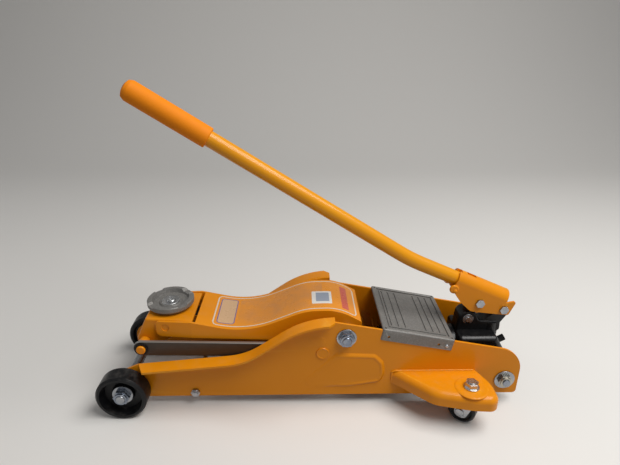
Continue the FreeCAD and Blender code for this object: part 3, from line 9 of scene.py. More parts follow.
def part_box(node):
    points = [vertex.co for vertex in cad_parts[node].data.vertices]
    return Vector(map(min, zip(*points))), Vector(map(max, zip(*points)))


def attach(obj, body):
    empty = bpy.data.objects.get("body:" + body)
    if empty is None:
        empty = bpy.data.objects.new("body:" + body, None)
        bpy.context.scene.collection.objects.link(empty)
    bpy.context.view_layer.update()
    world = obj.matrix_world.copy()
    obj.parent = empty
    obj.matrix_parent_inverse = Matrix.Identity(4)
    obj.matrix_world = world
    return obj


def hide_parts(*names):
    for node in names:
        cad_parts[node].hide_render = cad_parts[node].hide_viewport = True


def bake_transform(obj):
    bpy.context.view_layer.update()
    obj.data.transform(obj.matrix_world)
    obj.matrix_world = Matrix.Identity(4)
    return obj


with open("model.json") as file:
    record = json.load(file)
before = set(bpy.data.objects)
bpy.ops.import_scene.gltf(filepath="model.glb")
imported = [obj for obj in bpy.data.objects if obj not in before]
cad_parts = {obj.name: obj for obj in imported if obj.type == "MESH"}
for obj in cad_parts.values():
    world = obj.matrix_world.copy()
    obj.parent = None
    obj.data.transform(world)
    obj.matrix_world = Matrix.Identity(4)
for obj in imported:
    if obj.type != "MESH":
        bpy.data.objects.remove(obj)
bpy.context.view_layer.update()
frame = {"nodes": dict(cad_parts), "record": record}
nodes = frame["nodes"]

# Places in millimetres, as the CAD has them: back from the front axle, across and up
MIDDLE = 249.0
BOTH_SIDES = (("left", -1), ("right", 1))
PLATE_OUTSIDE = 56.0
PIVOT_BACK = 293.8
PIVOT_UP = 108.0

# Where the lines start that find a surface of the CAD pieces
CLEAR_ABOVE = 300
CLEAR_OUTSIDE = 90
BELOW_FLANGE = 20

# Return springs, from the ram's bar to the pump block's hooks
BAR_BACK = 323.3
HOOK_BACK = 446.0
SPRING_ACROSS = 30.0
SPRING_UP = 39.0
SPRING_TURNS = 62
TURN_STEPS = 12
COIL_RADIUS = 3.5
WIRE_RADIUS = 0.7
EYE_RADIUS = 3.9
EYE_CENTRE = BAR_BACK - 3
HOOK_RADIUS = 3.6
HOOK_CENTRE = HOOK_BACK - 3
COIL_FRONT = BAR_BACK + 5
COIL_REAR = HOOK_BACK - 7

# Release valve's knob
VALVE_BACK = 519.8
VALVE_UP = 62.7
VALVE_TILT = 30.7
VALVE_RADIUS = 4.8
VALVE_LENGTH = 10.5
VALVE_STEM_LENGTH = 12
VALVE_STEM_RADIUS = 3.1
KNURL_CROSSINGS = 22
KNURL_TWIST = 1.1
KNURL_DEPTH = 0.32

# Washer round the saddle's screw
WASHER_RADIUS = 12.4
WASHER_PLAY = 0.2
BESIDE_SCREW = 8.5
WASHER_SIDES = 72

# Label on the arm's cover
LABEL_FRONT = 116.0
LABEL_LENGTH = 193.0
LABEL_HALF_WIDTH = 37.0
LABEL_CORNER = 7.0
LABEL_RISE = 0.2

# Bend of the side plates under their flange
BEND_FRONT = 24.0
BEND_REAR = 276.0
BEND_RADIUS = 13.0
BEND_OVERLAP = 0.5

# Raised panel of the side plates, as (back, up, radius) from the main pivot
PANEL_CORNERS = (
    (-13, -24, 9),
    (40, -26.2, 10),
    (51.5, -39, 12),
    (54, -58, 20),
    (48, -72.6, 9),
    (4, -80, 20),
    (-66, -80, 8),
)
PANEL_INSIDE = 8
STEP_WIDTH = 5.4
STEP_RIDGE = 0.7
STEP_RISE = 0.05
STEP_SINK = 0.1
RIDGE_START = PIVOT_BACK - 20
RIDGE_FADE = 40
STEP_PLACES = (0, 0.6, 1.2, 1.8, 2.4, 3.0, 3.6, 4.2, 4.8, 5.4, 6.2, 7.0, 7.8)

# Rear corner of the handle socket's cheeks, as (back, up, radius)
CHEEK_CORNERS = ((512.6, 113.7, 0.3), (522.0, 112.4, 4), (530.9, 134.8, 2.5), (520.9, 133.0, 0.3))
CHEEK_INSIDE = 10.45
CHEEK_OUTSIDE = 13.55
SOCKET_BOLT = (514.6, 122.0)
SOCKET_BOLT_RADIUS = 4.15

# Weld along the top of the wings
WING_TOP = 54.0
WELD_RADIUS = 1.5
WELD_LINE = ((357, 38), (357, WING_TOP - WELD_RADIUS), (361, WING_TOP), (468, WING_TOP))
WELD_SIDES = 10
WELD_STEP = 0.7

# Photo's camera
FOCAL_PIXELS = 481.92
PHOTO_WIDTH = 620
CAMERA_PLACE = (-0.01617, -0.57838, 0.47794)
CAMERA_YAW = 0.0240
CAMERA_PITCH = 0.4009
CAMERA_ROLL = 0.0060
SENSOR_WIDTH = 36.0

# Studio, in metres
FLOOR_HALF_WIDTH = 4.0
FLOOR_FRONT = -3.0
CURVE_START = 1.1
CURVE_RADIUS = 0.9
BACKDROP_TOP = 3.0
SURROUND_LIGHT = 0.23
SURROUND_SEEN = 0.44

# Directions
UPWARD = Vector((0, 0, 1))
DOWNWARD = Vector((0, 0, -1))


def place(back, across, up):
    """Point in metres from millimetres measured as the CAD does."""
    return Vector((back - MIDDLE, across, up)) / 1000


def even_turns(first, last, steps):
    """Angles in radians from first to last, which are in degrees."""
    return [math.radians(first + (last - first) * step / steps) for step in range(steps + 1)]


# Node helpers
def add(tree, kind, inputs=None, **settings):
    """New shader node with its settings, and its inputs as values or linked sockets."""
    node = tree.nodes.new(kind)
    for name, value in settings.items():
        setattr(node, name, value)
    for name, value in (inputs or {}).items():
        if isinstance(value, bpy.types.NodeSocket):
            tree.links.new(value, node.inputs[name])
        else:
            node.inputs[name].default_value = value
    return node


def calculate(tree, operation, first, second=0.0, clamp=False):
    """Result of a sum on two values or sockets."""
    node = add(tree, "ShaderNodeMath", {0: first, 1: second}, operation=operation, use_clamp=clamp)
    return node.outputs[0]


def blend_colours(tree, share, first, second):
    """The first colour, covered by the second by a share from 0 to 1."""
    node = add(tree, "ShaderNodeMix", {0: share, 6: first, 7: second}, data_type="RGBA")
    return node.outputs[2]


def stepped(tree, value, low, high, out_low=0.0, out_high=1.0):
    """The value moved from one range to another, smoothly and kept inside it."""
    node = add(
        tree,
        "ShaderNodeMapRange",
        {"Value": value, "From Min": low, "From Max": high, "To Min": out_low, "To Max": out_high},
        interpolation_type="SMOOTHSTEP",
    )
    return node.outputs["Result"]


def new_group(name, inputs, outputs):
    """Empty shader group with named sockets, its input node's outputs and its output node."""
    tree = bpy.data.node_groups.new(name, "ShaderNodeTree")
    for title, kind, value in inputs:
        tree.interface.new_socket(title, in_out="INPUT", socket_type=kind).default_value = value
    for title, kind in outputs:
        tree.interface.new_socket(title, in_out="OUTPUT", socket_type=kind)
    return tree, tree.nodes.new("NodeGroupInput").outputs, tree.nodes.new("NodeGroupOutput").inputs


def use(tree, group, inputs=None):
    """Places a shader group in a material and returns its outputs."""
    node = tree.nodes.new("ShaderNodeGroup")
    node.node_tree = group
    for name, value in (inputs or {}).items():
        if isinstance(value, bpy.types.NodeSocket):
            tree.links.new(value, node.inputs[name])
        else:
            node.inputs[name].default_value = value
    return node.outputs


FLOAT = "NodeSocketFloat"
VECTOR = "NodeSocketVector"


# Shared effects
def patchy_group():
    """Slow uneven patches, from 0 to 1."""
    inputs = [("Size", FLOAT, 40.0), ("Seed", FLOAT, 0.0), ("Contrast", FLOAT, 0.15)]
    tree, given, out = new_group("patches", inputs, [("Mask", FLOAT)])
    spot = add(tree, "ShaderNodeTexCoord").outputs["Object"]
    noise = add(
        tree,
        "ShaderNodeTexNoise",
        {"Vector": spot, "W": given["Seed"], "Scale": given["Size"], "Detail": 5.0, "Roughness": 0.6},
        noise_dimensions="4D",
    ).outputs["Fac"]
    low = calculate(tree, "SUBTRACT", 0.5, given["Contrast"])
    high = calculate(tree, "ADD", 0.5, given["Contrast"])
    tree.links.new(stepped(tree, noise, low, high), out["Mask"])
    return tree


def worn_and_lit_edge_group():
    """Outer edges, as a mask for a coat rubbed thin and for a painted highlight along edges, broken up by
    grain.
    """
    inputs = [("Start", FLOAT, 0.53), ("End", FLOAT, 0.6), ("Raggedness", FLOAT, 0.6)]
    tree, given, out = new_group("worn_and_lit_edges", inputs, [("Mask", FLOAT)])
    spot = add(tree, "ShaderNodeTexCoord").outputs["Object"]
    corner = add(tree, "ShaderNodeNewGeometry").outputs["Pointiness"]
    edge = stepped(tree, corner, given["Start"], given["End"])
    noise = add(tree, "ShaderNodeTexNoise", {"Vector": spot, "Scale": 260.0, "Detail": 4.0}).outputs["Fac"]
    chipped = stepped(tree, noise, 0.42, 0.62)
    kept = calculate(tree, "SUBTRACT", 1.0, calculate(tree, "MULTIPLY", chipped, given["Raggedness"]))
    tree.links.new(calculate(tree, "MULTIPLY", edge, kept, clamp=True), out["Mask"])
    return tree


def dust_group():
    """Dust that settles on what faces up."""
    tree, given, out = new_group("dust", [("Amount", FLOAT, 0.2)], [("Mask", FLOAT)])
    around = add(tree, "ShaderNodeTexCoord")
    spot = around.outputs["Object"]
    upward = add(tree, "ShaderNodeSeparateXYZ", {0: around.outputs["Normal"]}).outputs["Z"]
    facing = stepped(tree, upward, 0.3, 0.95)
    noise = add(tree, "ShaderNodeTexNoise", {"Vector": spot, "Scale": 90.0, "Detail": 8.0, "Roughness": 0.7})
    speckle = stepped(tree, noise.outputs["Fac"], 0.45, 0.7)
    mask = calculate(tree, "MULTIPLY", facing, speckle)
    tree.links.new(calculate(tree, "MULTIPLY", mask, given["Amount"]), out["Mask"])
    return tree


def grain_group():
    """Fine unevenness of a surface as a normal."""
    inputs = [("Size", FLOAT, 900.0), ("Height", FLOAT, 0.05), ("Strength", FLOAT, 0.3)]
    tree, given, out = new_group("grain", inputs, [("Normal", VECTOR)])
    spot = add(tree, "ShaderNodeTexCoord").outputs["Object"]
    noise = add(tree, "ShaderNodeTexNoise", {"Vector": spot, "Scale": given["Size"], "Detail": 3.0})
    height = calculate(tree, "MULTIPLY", noise.outputs["Fac"], given["Height"])
    bump = add(tree, "ShaderNodeBump", {"Strength": given["Strength"], "Distance": 0.001, "Height": height})
    tree.links.new(bump.outputs["Normal"], out["Normal"])
    return tree


def hammered_group():
    """Rounded cells of a hammered or cast skin, as a normal and as a mask."""
    inputs = [("Size", FLOAT, 500.0), ("Strength", FLOAT, 0.4)]
    tree, given, out = new_group("cast_skin", inputs, [("Normal", VECTOR), ("Mask", FLOAT)])
    spot = add(tree, "ShaderNodeTexCoord").outputs["Object"]
    noise = add(tree, "ShaderNodeTexNoise", {"Vector": spot, "Scale": given["Size"], "Detail": 2.0})
    reach = (0.0015, 0.0015, 0.0015)
    warp = add(tree, "ShaderNodeVectorMath", {0: noise.outputs["Color"], 1: reach}, operation="MULTIPLY")
    moved = add(tree, "ShaderNodeVectorMath", {0: warp.outputs[0], 1: spot}, operation="ADD")
    places = {"Vector": moved.outputs[0], "Scale": given["Size"]}
    cells = add(tree, "ShaderNodeTexVoronoi", places, feature="SMOOTH_F1").outputs["Distance"]
    bump = add(tree, "ShaderNodeBump", {"Strength": given["Strength"], "Distance": 0.0006, "Height": cells})
    tree.links.new(bump.outputs["Normal"], out["Normal"])
    tree.links.new(cells, out["Mask"])
    return tree


def scratch_group():
    """Fine straight marks along the jack, as a mask."""
    inputs = [("Size", FLOAT, 30.0), ("Amount", FLOAT, 0.5)]
    tree, given, out = new_group("scratches", inputs, [("Mask", FLOAT)])
    spot = add(tree, "ShaderNodeTexCoord").outputs["Object"]
    drawn = add(tree, "ShaderNodeMapping", {"Vector": spot, "Scale": (1.0, 30.0, 30.0)}).outputs["Vector"]
    noise = add(tree, "ShaderNodeTexNoise", {"Vector": drawn, "Scale": given["Size"], "Detail": 6.0})
    lines = stepped(tree, noise.outputs["Fac"], 0.58, 0.72)
    tree.links.new(calculate(tree, "MULTIPLY", lines, given["Amount"]), out["Mask"])
    return tree


def cut_and_lit_edge_group():
    """Narrow faces of a flat bar that stands across the jack, where its cut faces show and where a painted
    reflection of the light lies on the top edge.
    """
    inputs = [("Start", FLOAT, 0.5), ("End", FLOAT, 0.85)]
    tree, given, out = new_group("cut_and_lit_edges", inputs, [("Mask", FLOAT)])
    normal = add(tree, "ShaderNodeTexCoord").outputs["Normal"]
    across = calculate(tree, "ABSOLUTE", add(tree, "ShaderNodeSeparateXYZ", {0: normal}).outputs["Y"])
    tree.links.new(stepped(tree, across, given["Start"], given["End"], 1.0, 0.0), out["Mask"])
    return tree


PATCHES = patchy_group()
WORN_AND_LIT_EDGES = worn_and_lit_edge_group()
DUST = dust_group()
GRAIN = grain_group()
CAST_SKIN = hammered_group()
SCRATCHES = scratch_group()
CUT_AND_LIT_EDGES = cut_and_lit_edge_group()


# Finishes
def new_finish(name):
    """Material with its node tree and its shader."""
    finish = bpy.data.materials.new(name)
    finish.use_nodes = True
    tree = finish.node_tree
    return finish, tree, tree.nodes["Principled BSDF"]


def enamel(name, colour, deep, rubbed_and_lit, roughness, coat, dust=0.12):
    """Glossy sprayed paint with a slight orange peel, deeper patches, and lighter edges that are partly
    rubbed paint and partly a painted highlight.
    """
    finish, tree, shader = new_finish(name)
    patches = use(tree, PATCHES, {"Size": 14.0, "Contrast": 0.3})["Mask"]
    edges = use(tree, WORN_AND_LIT_EDGES, {"Start": 0.54, "End": 0.64})["Mask"]
    settled = use(tree, DUST, {"Amount": dust})["Mask"]
    scuffs = use(tree, SCRATCHES, {"Size": 26.0, "Amount": 0.35})["Mask"]
    shade = blend_colours(tree, calculate(tree, "MULTIPLY", patches, 0.5), colour, deep)
    # Edges take the lighter rubbed colour: partly wear, partly a painted highlight along the edges.
    shade = blend_colours(tree, calculate(tree, "MULTIPLY", edges, 0.55), shade, rubbed_and_lit)
    shade = blend_colours(tree, settled, shade, (0.55, 0.47, 0.36, 1))
    tree.links.new(shade, shader.inputs["Base Color"])
    dull = calculate(tree, "ADD", calculate(tree, "MULTIPLY", patches, 0.08), roughness)
    dull = calculate(tree, "ADD", calculate(tree, "MULTIPLY", settled, 0.5), dull)
    dull = calculate(tree, "ADD", calculate(tree, "MULTIPLY", scuffs, 0.2), dull, clamp=True)
    tree.links.new(dull, shader.inputs["Roughness"])
    peel = use(tree, GRAIN, {"Size": 420.0, "Height": 0.16, "Strength": 0.22})["Normal"]
    tree.links.new(peel, shader.inputs["Normal"])
    shader.inputs["Specular IOR Level"].default_value = 0.2
    shader.inputs["Coat Weight"].default_value = coat
    shader.inputs["Coat Roughness"].default_value = 0.14
    return finish


def moulded_plastic(name, colour, scuffed, roughness, grain, dust=0.08):
    """Moulded plastic with a fine grain, scuffed edges and dust."""
    finish, tree, shader = new_finish(name)
    patches = use(tree, PATCHES, {"Size": 50.0, "Contrast": 0.25})["Mask"]
    edges = use(tree, WORN_AND_LIT_EDGES, {"Start": 0.53, "End": 0.62})["Mask"]
    settled = use(tree, DUST, {"Amount": dust})["Mask"]
    worn_and_lit = calculate(tree, "MULTIPLY", edges, 0.6)
    shade = blend_colours(tree, worn_and_lit, colour, scuffed)
    shade = blend_colours(tree, calculate(tree, "MULTIPLY", patches, 0.12), shade, scuffed)
    shade = blend_colours(tree, settled, shade, (0.42, 0.39, 0.35, 1))
    tree.links.new(shade, shader.inputs["Base Color"])
    dull = calculate(tree, "ADD", calculate(tree, "MULTIPLY", patches, 0.15), roughness, clamp=True)
    tree.links.new(dull, shader.inputs["Roughness"])
    fine = use(tree, GRAIN, {"Size": grain, "Height": 0.2, "Strength": 0.3})["Normal"]
    tree.links.new(fine, shader.inputs["Normal"])
    shader.inputs["Specular IOR Level"].default_value = 0.25
    return finish


def casting(name, colour, crest, roughness, size, strength, metal=0.0, coat=0.0, dust=0.12, worn_and_lit=None):
    """Cast piece with a hammered or sandy painted skin, and lighter edges that are partly worn and partly a
    painted highlight.
    """
    finish, tree, shader = new_finish(name)
    skin = use(tree, CAST_SKIN, {"Size": size, "Strength": strength})
    patches = use(tree, PATCHES, {"Size": 30.0, "Contrast": 0.25})["Mask"]
    edges = use(tree, WORN_AND_LIT_EDGES, {"Start": 0.53, "End": 0.6})["Mask"]
    settled = use(tree, DUST, {"Amount": dust})["Mask"]
    cells = stepped(tree, skin["Mask"], 0.2, 0.8)
    shade = blend_colours(tree, calculate(tree, "MULTIPLY", cells, 0.5), colour, crest)
    # Edges take the lighter worn colour: partly wear, partly a painted highlight on rims.
    shade = blend_colours(tree, calculate(tree, "MULTIPLY", edges, 0.8), shade, worn_and_lit or crest)
    shade = blend_colours(tree, settled, shade, (0.45, 0.42, 0.37, 1))
    tree.links.new(shade, shader.inputs["Base Color"])
    dull = calculate(tree, "ADD", calculate(tree, "MULTIPLY", patches, 0.15), roughness, clamp=True)
    tree.links.new(dull, shader.inputs["Roughness"])
    tree.links.new(skin["Normal"], shader.inputs["Normal"])
    shader.inputs["Metallic"].default_value = metal
    shader.inputs["Specular IOR Level"].default_value = 0.3
    shader.inputs["Coat Weight"].default_value = coat
    shader.inputs["Coat Roughness"].default_value = 0.2
    return finish


def plated_steel(name, colour, tint, roughness, marks=0.4):
    """Plated or ground steel with cloudy plating and fine marks."""
    finish, tree, shader = new_finish(name)
    cloud = use(tree, PATCHES, {"Size": 110.0, "Contrast": 0.2})["Mask"]
    lines = use(tree, SCRATCHES, {"Size": 60.0, "Amount": marks})["Mask"]
    shade = blend_colours(tree, cloud, colour, tint)
    tree.links.new(shade, shader.inputs["Base Color"])
    dull = calculate(tree, "ADD", calculate(tree, "MULTIPLY", cloud, 0.12), roughness)
    dull = calculate(tree, "ADD", calculate(tree, "MULTIPLY", lines, 0.25), dull, clamp=True)
    tree.links.new(dull, shader.inputs["Roughness"])
    fine = use(tree, GRAIN, {"Size": 700.0, "Height": 0.12, "Strength": 0.25})["Normal"]
    tree.links.new(fine, shader.inputs["Normal"])
    shader.inputs["Metallic"].default_value = 1.0
    return finish


def rolled_bar(name, colour, deep, bare_and_lit, roughness):
    """Dark rolled flat bar whose narrow faces are painted light grey, as bare cut steel and as a painted
    reflection of the light on its top edge, with fine marks along it.
    """
    finish, tree, shader = new_finish(name)
    cloud = use(tree, PATCHES, {"Size": 45.0, "Contrast": 0.25})["Mask"]
    lines = use(tree, SCRATCHES, {"Size": 40.0, "Amount": 0.5})["Mask"]
    cut_and_lit = use(tree, CUT_AND_LIT_EDGES)["Mask"]
    shade = blend_colours(tree, cloud, colour, deep)
    shade = blend_colours(tree, calculate(tree, "MULTIPLY", lines, 0.25), shade, bare_and_lit)
    # Narrow faces take the light grey: bare cut steel, and a painted reflection of the light on the top edge.
    shade = blend_colours(tree, cut_and_lit, shade, bare_and_lit)
    tree.links.new(shade, shader.inputs["Base Color"])
    tree.links.new(calculate(tree, "MULTIPLY", cut_and_lit, 0.6), shader.inputs["Metallic"])
    dull = calculate(tree, "ADD", calculate(tree, "MULTIPLY", cloud, 0.12), roughness, clamp=True)
    tree.links.new(dull, shader.inputs["Roughness"])
    fine = use(tree, GRAIN, {"Size": 600.0, "Height": 0.15, "Strength": 0.3})["Normal"]
    tree.links.new(fine, shader.inputs["Normal"])
    return finish


def painted_and_moulded():
    """Finishes of the painted, cast and moulded pieces."""
    return {
        "yellow_paint": enamel(
            "yellow_enamel",
            colour=(0.82, 0.285, 0.004, 1),
            deep=(0.77, 0.245, 0.003, 1),
            # Lighter edge colour: partly rubbed paint, partly a painted highlight.
            rubbed_and_lit=(0.90, 0.42, 0.03, 1),
            roughness=0.27,
            coat=0.14,
            dust=0.05,
        ),
        "yellow_rod": enamel(
            "handle_enamel",
            colour=(0.80, 0.325, 0.005, 1),
            deep=(0.76, 0.285, 0.004, 1),
            # Lighter edge colour: partly rubbed paint, partly a painted highlight.
            rubbed_and_lit=(0.90, 0.44, 0.03, 1),
            roughness=0.25,
            coat=0.2,
            dust=0.02,
        ),
        "orange_grip": moulded_plastic(
            "orange_grip",
            colour=(0.88, 0.25, 0.002, 1),
            scuffed=(0.90, 0.29, 0.008, 1),
            roughness=0.6,
            grain=500.0,
            dust=0.02,
        ),
        "grey_cast": casting(
            "grey_hammered",
            colour=(0.185, 0.178, 0.168, 1),
            crest=(0.29, 0.283, 0.272, 1),
            roughness=0.4,
            size=620.0,
            strength=0.22,
            metal=0.25,
            # Lighter edge colour: partly wear, partly a painted highlight on the saddle's rims.
            worn_and_lit=(0.42, 0.415, 0.40, 1),
        ),
        "dark_bar": rolled_bar(
            "rolled_bar",
            colour=(0.040, 0.028, 0.021, 1),
            deep=(0.026, 0.018, 0.014, 1),
            # Light grey of the narrow faces: bare steel, and a painted reflection of the light on the top
            # edge.
            bare_and_lit=(0.30, 0.29, 0.27, 1),
            roughness=0.34,
        ),
        "black_cast": casting(
            "black_casting",
            colour=(0.004, 0.004, 0.0045, 1),
            crest=(0.009, 0.009, 0.010, 1),
            roughness=0.26,
            size=420.0,
            strength=0.25,
            coat=0.1,
            dust=0.02,
        ),
        "black_nylon": moulded_plastic(
            "black_nylon",
            colour=(0.004, 0.004, 0.005, 1),
            scuffed=(0.02, 0.02, 0.02, 1),
            roughness=0.3,
            grain=800.0,
        ),
        "seal": moulded_plastic(
            "oil_seal",
            colour=(0.012, 0.012, 0.012, 1),
            scuffed=(0.03, 0.03, 0.03, 1),
            roughness=0.5,
            grain=900.0,
        ),
    }


def plated():
    """Finishes of the plated, ground and drawn steel."""
    return {
        "black_steel": plated_steel(
            "black_oxide", colour=(0.018, 0.018, 0.020, 1), tint=(0.035, 0.034, 0.033, 1), roughness=0.34
        ),
        "zinc": plated_steel(
            "zinc_plate", colour=(0.30, 0.32, 0.35, 1), tint=(0.44, 0.45, 0.47, 1), roughness=0.22
        ),
        "yellow_zinc": plated_steel(
            "yellow_zinc", colour=(0.36, 0.35, 0.30, 1), tint=(0.50, 0.48, 0.42, 1), roughness=0.24
        ),
        "bright_steel": plated_steel(
            "ground_steel", colour=(0.52, 0.53, 0.54, 1), tint=(0.60, 0.60, 0.60, 1), roughness=0.2, marks=0.7
        ),
        "blue_zinc": plated_steel(
            "blue_zinc_plate", colour=(0.19, 0.22, 0.28, 1), tint=(0.32, 0.35, 0.40, 1), roughness=0.2
        ),
        "spring_steel": plated_steel(
            "spring_steel", colour=(0.28, 0.28, 0.29, 1), tint=(0.34, 0.33, 0.32, 1), roughness=0.32
        ),
    }


FINISHES = {**painted_and_moulded(), **plated()}
NODE_FINISHES = {
    "main_pivot_shaft": "blue_zinc",
    "pivot_nuts": "blue_zinc",
    "axle_nuts": "blue_zinc",
    "rear_bolt": "blue_zinc",
    "saddle_screw": "bright_steel",
    "stop_pin_clips": "zinc",
    "foot_plate_screws": "zinc",
    "king_bolts": "bright_steel",
    "king_nuts": "bright_steel",
}


# Edges of the CAD pieces
def edge_group():
    """Joins the tessellation's seams and drops its stored normals."""
    tree = bpy.data.node_groups.new("join_seams", "GeometryNodeTree")
    tree.interface.new_socket("Geometry", in_out="INPUT", socket_type="NodeSocketGeometry")
    tree.interface.new_socket("Geometry", in_out="OUTPUT", socket_type="NodeSocketGeometry")
    start = tree.nodes.new("NodeGroupInput")
    end = tree.nodes.new("NodeGroupOutput")
    whole = {"Geometry": start.outputs[0], "Distance": 0.000004}
    merged = add(tree, "GeometryNodeMergeByDistance", whole)
    normals = {"Geometry": merged.outputs[0], "Name": "custom_normal"}
    dropped = add(tree, "GeometryNodeRemoveAttribute", normals)
    smooth = add(tree, "GeometryNodeSetShadeSmooth", {"Geometry": dropped.outputs[0]})
    tree.links.new(smooth.outputs[0], end.inputs[0])
    return tree


JOIN_SEAMS = edge_group()
PLAIN_EDGE = 0.25
BROKEN_EDGE = {
    "yellow_paint": 0.5,
    "yellow_rod": 0.5,
    "grey_cast": 0.45,
    "black_cast": 0.6,
    "dark_bar": 0.5,
    "zinc": 0.35,
}


def break_edges(piece, width, merge_flats):
    """Rounds a piece's sharp edges by a width in millimetres and shades its flat faces flat."""
    seams = piece.modifiers.new("join_seams", "NODES")
    seams.node_group = JOIN_SEAMS
    if merge_flats:
        flat = piece.modifiers.new("merge_flats", "DECIMATE")
        flat.decimate_type = "DISSOLVE"
        flat.angle_limit = math.radians(0.6)
    bevel = piece.modifiers.new("broken_edges", "BEVEL")
    bevel.width = width / 1000
    bevel.segments = 2
    bevel.limit_method = "ANGLE"
    bevel.angle_limit = math.radians(32)
    bevel.miter_outer = "MITER_ARC"
    bevel.use_clamp_overlap = True
    even = piece.modifiers.new("even_shading", "WEIGHTED_NORMAL")
    even.keep_sharp = True
    even.weight = 80


def finish_cad_nodes():
    """Gives each CAD node its finish and broken edges."""
    for part in frame["record"]["subparts"]:
        piece = nodes[part["node"]]
        finish = FINISHES[NODE_FINISHES.get(part["node"], part["material_slot"])]
        for slot in piece.material_slots:
            slot.material = finish
        width = BROKEN_EDGE.get(part["material_slot"], PLAIN_EDGE)
        break_edges(piece, width, merge_flats=part["node"] != "foot_plate")


# Meshes
def new_piece(name, points, faces, body, slot, finish=None):
    """Mesh piece that rides on a body, with its slot's finish unless another is given."""
    mesh = bpy.data.meshes.new(name)
    mesh.from_pydata([tuple(point) for point in points], [], faces)
    mesh.materials.append(finish or FINISHES[slot])
    for face in mesh.polygons:
        face.use_smooth = True
    piece = bpy.data.objects.new(name, mesh)
    bpy.context.scene.collection.objects.link(piece)
    if body:
        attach(piece, body)
    return piece


def grid_faces(rows, columns, closed_columns=False):
    """Faces of a grid of points stored row by row."""
    faces = []
    across = columns if closed_columns else columns - 1
    for row in range(rows - 1):
        for column in range(across):
            following = (column + 1) % columns
            low = row * columns
            high = low + columns
            faces.append((low + column, low + following, high + following, high + column))
    return faces


def closed_faces(rows, columns):
    """Faces of a tube of points stored ring by ring, with both ends closed."""
    last = (rows - 1) * columns
    faces = grid_faces(rows, columns, True)
    faces.append(tuple(range(columns - 1, -1, -1)))
    faces.append(tuple(range(last, last + columns)))
    return faces


def turned_out(faces, side=-1):
    """Faces as they are on the right side and wound the other way on the left, so that both face out."""
    return faces if side > 0 else [face[::-1] for face in faces]


def tube_along(points, radius, sides):
    """Points and faces of a round wire along a line of points, with closed ends."""
    rows = []
    normal = None
    for i, point in enumerate(points):
        ahead = points[min(i + 1, len(points) - 1)] - points[max(i - 1, 0)]
        ahead.normalize()
        if normal is None:
            normal = ahead.orthogonal().normalized()
        normal = (normal - ahead * normal.dot(ahead)).normalized()
        side = ahead.cross(normal)
        for k in range(sides):
            turn = 2 * math.pi * k / sides
            rows.append(point + (normal * math.cos(turn) + side * math.sin(turn)) * radius)
    return rows, closed_faces(len(points), sides)


def turned_points(profile, start, axis, sides, shape=None):
    """Points turned from (radius, height) in millimetres round an axis, where shape may change a radius."""
    turn = UPWARD.rotation_difference(Vector(axis))
    points = []
    for radius, height in profile:
        for k in range(sides):
            angle = 2 * math.pi * k / sides
            reach = shape(radius, height, angle) if shape else radius
            local = Vector((reach * math.cos(angle), reach * math.sin(angle), height)) / 1000
            points.append(Vector(start) + turn @ local)
    return points


def surface(node):
    """Search tree over a node's faces, to lay a piece on it."""
    mesh = nodes[node].data
    return BVHTree.FromPolygons([v.co for v in mesh.vertices], [tuple(p.vertices) for p in mesh.polygons])


# Return springs
def spring_line(side):
    """Wire of one spring: an eye round the bar, close turns and a hook through the block's eye."""
    across = side * SPRING_ACROSS
    points = []
    for turn in even_turns(-60, 240, 16):
        back = EYE_CENTRE - EYE_RADIUS * math.cos(turn)
        points.append(place(back, across, SPRING_UP + EYE_RADIUS * math.sin(turn)))
    count = SPRING_TURNS * TURN_STEPS
    for step in range(count + 1):
        turn = 2 * math.pi * step / TURN_STEPS
        back = COIL_FRONT + (COIL_REAR - COIL_FRONT) * step / count
        aside = COIL_RADIUS * math.sin(turn)
        points.append(place(back, across + aside, SPRING_UP - COIL_RADIUS * math.cos(turn)))
    for turn in even_turns(-120, 130, 12)[1:-1]:
        back = HOOK_CENTRE + HOOK_RADIUS * math.cos(turn)
        points.append(place(back, across, SPRING_UP + HOOK_RADIUS * math.sin(turn)))
    return points


def return_springs():
    """Springs that stretch between the pump block and the ram's bar."""
    for name, side in BOTH_SIDES:
        points, faces = tube_along(spring_line(side), WIRE_RADIUS / 1000, 6)
        spring = new_piece(name + "_return_spring", points, faces, None, "spring_steel")
        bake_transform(spring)
        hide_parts("return_springs")


# Release valve
def valve_point(distance):
    """Point on the valve's axis, this far out of the pump block."""
    tilt = math.radians(VALVE_TILT)
    return place(VALVE_BACK + distance * math.cos(tilt), 0, VALVE_UP + distance * math.sin(tilt))


def release_knob():
    """Knurled knob with a dished end on its stem."""

    def knurl(radius, height, angle):
        if radius < VALVE_RADIUS - 0.2 or not 1.5 < height < VALVE_LENGTH - 1:
            return radius
        across = KNURL_CROSSINGS * angle
        twist = height * KNURL_TWIST
        ridge = math.cos(across + twist) * math.cos(across - twist)
        return radius - KNURL_DEPTH + KNURL_DEPTH * abs(ridge)

    end = VALVE_LENGTH
    profile = [(VALVE_STEM_RADIUS, -VALVE_STEM_LENGTH), (VALVE_STEM_RADIUS, 0.4)]
    profile += [(4.2, 0.5), (VALVE_RADIUS, 1.1)]
    profile += [(VALVE_RADIUS, 1.6 + 0.36 * k) for k in range(23)]
    profile += [(VALVE_RADIUS, end - 0.6), (4.1, end), (2.4, end), (2.2, end - 0.7), (0.05, end - 0.7)]
    sides = 8 * KNURL_CROSSINGS
    points = turned_points(profile, valve_point(0), valve_point(1) - valve_point(0), sides, knurl)
    faces = closed_faces(len(profile), sides)
    knob = new_piece("release_knob", points, faces, "release_valve", "black_steel")
    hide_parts("release_valve")


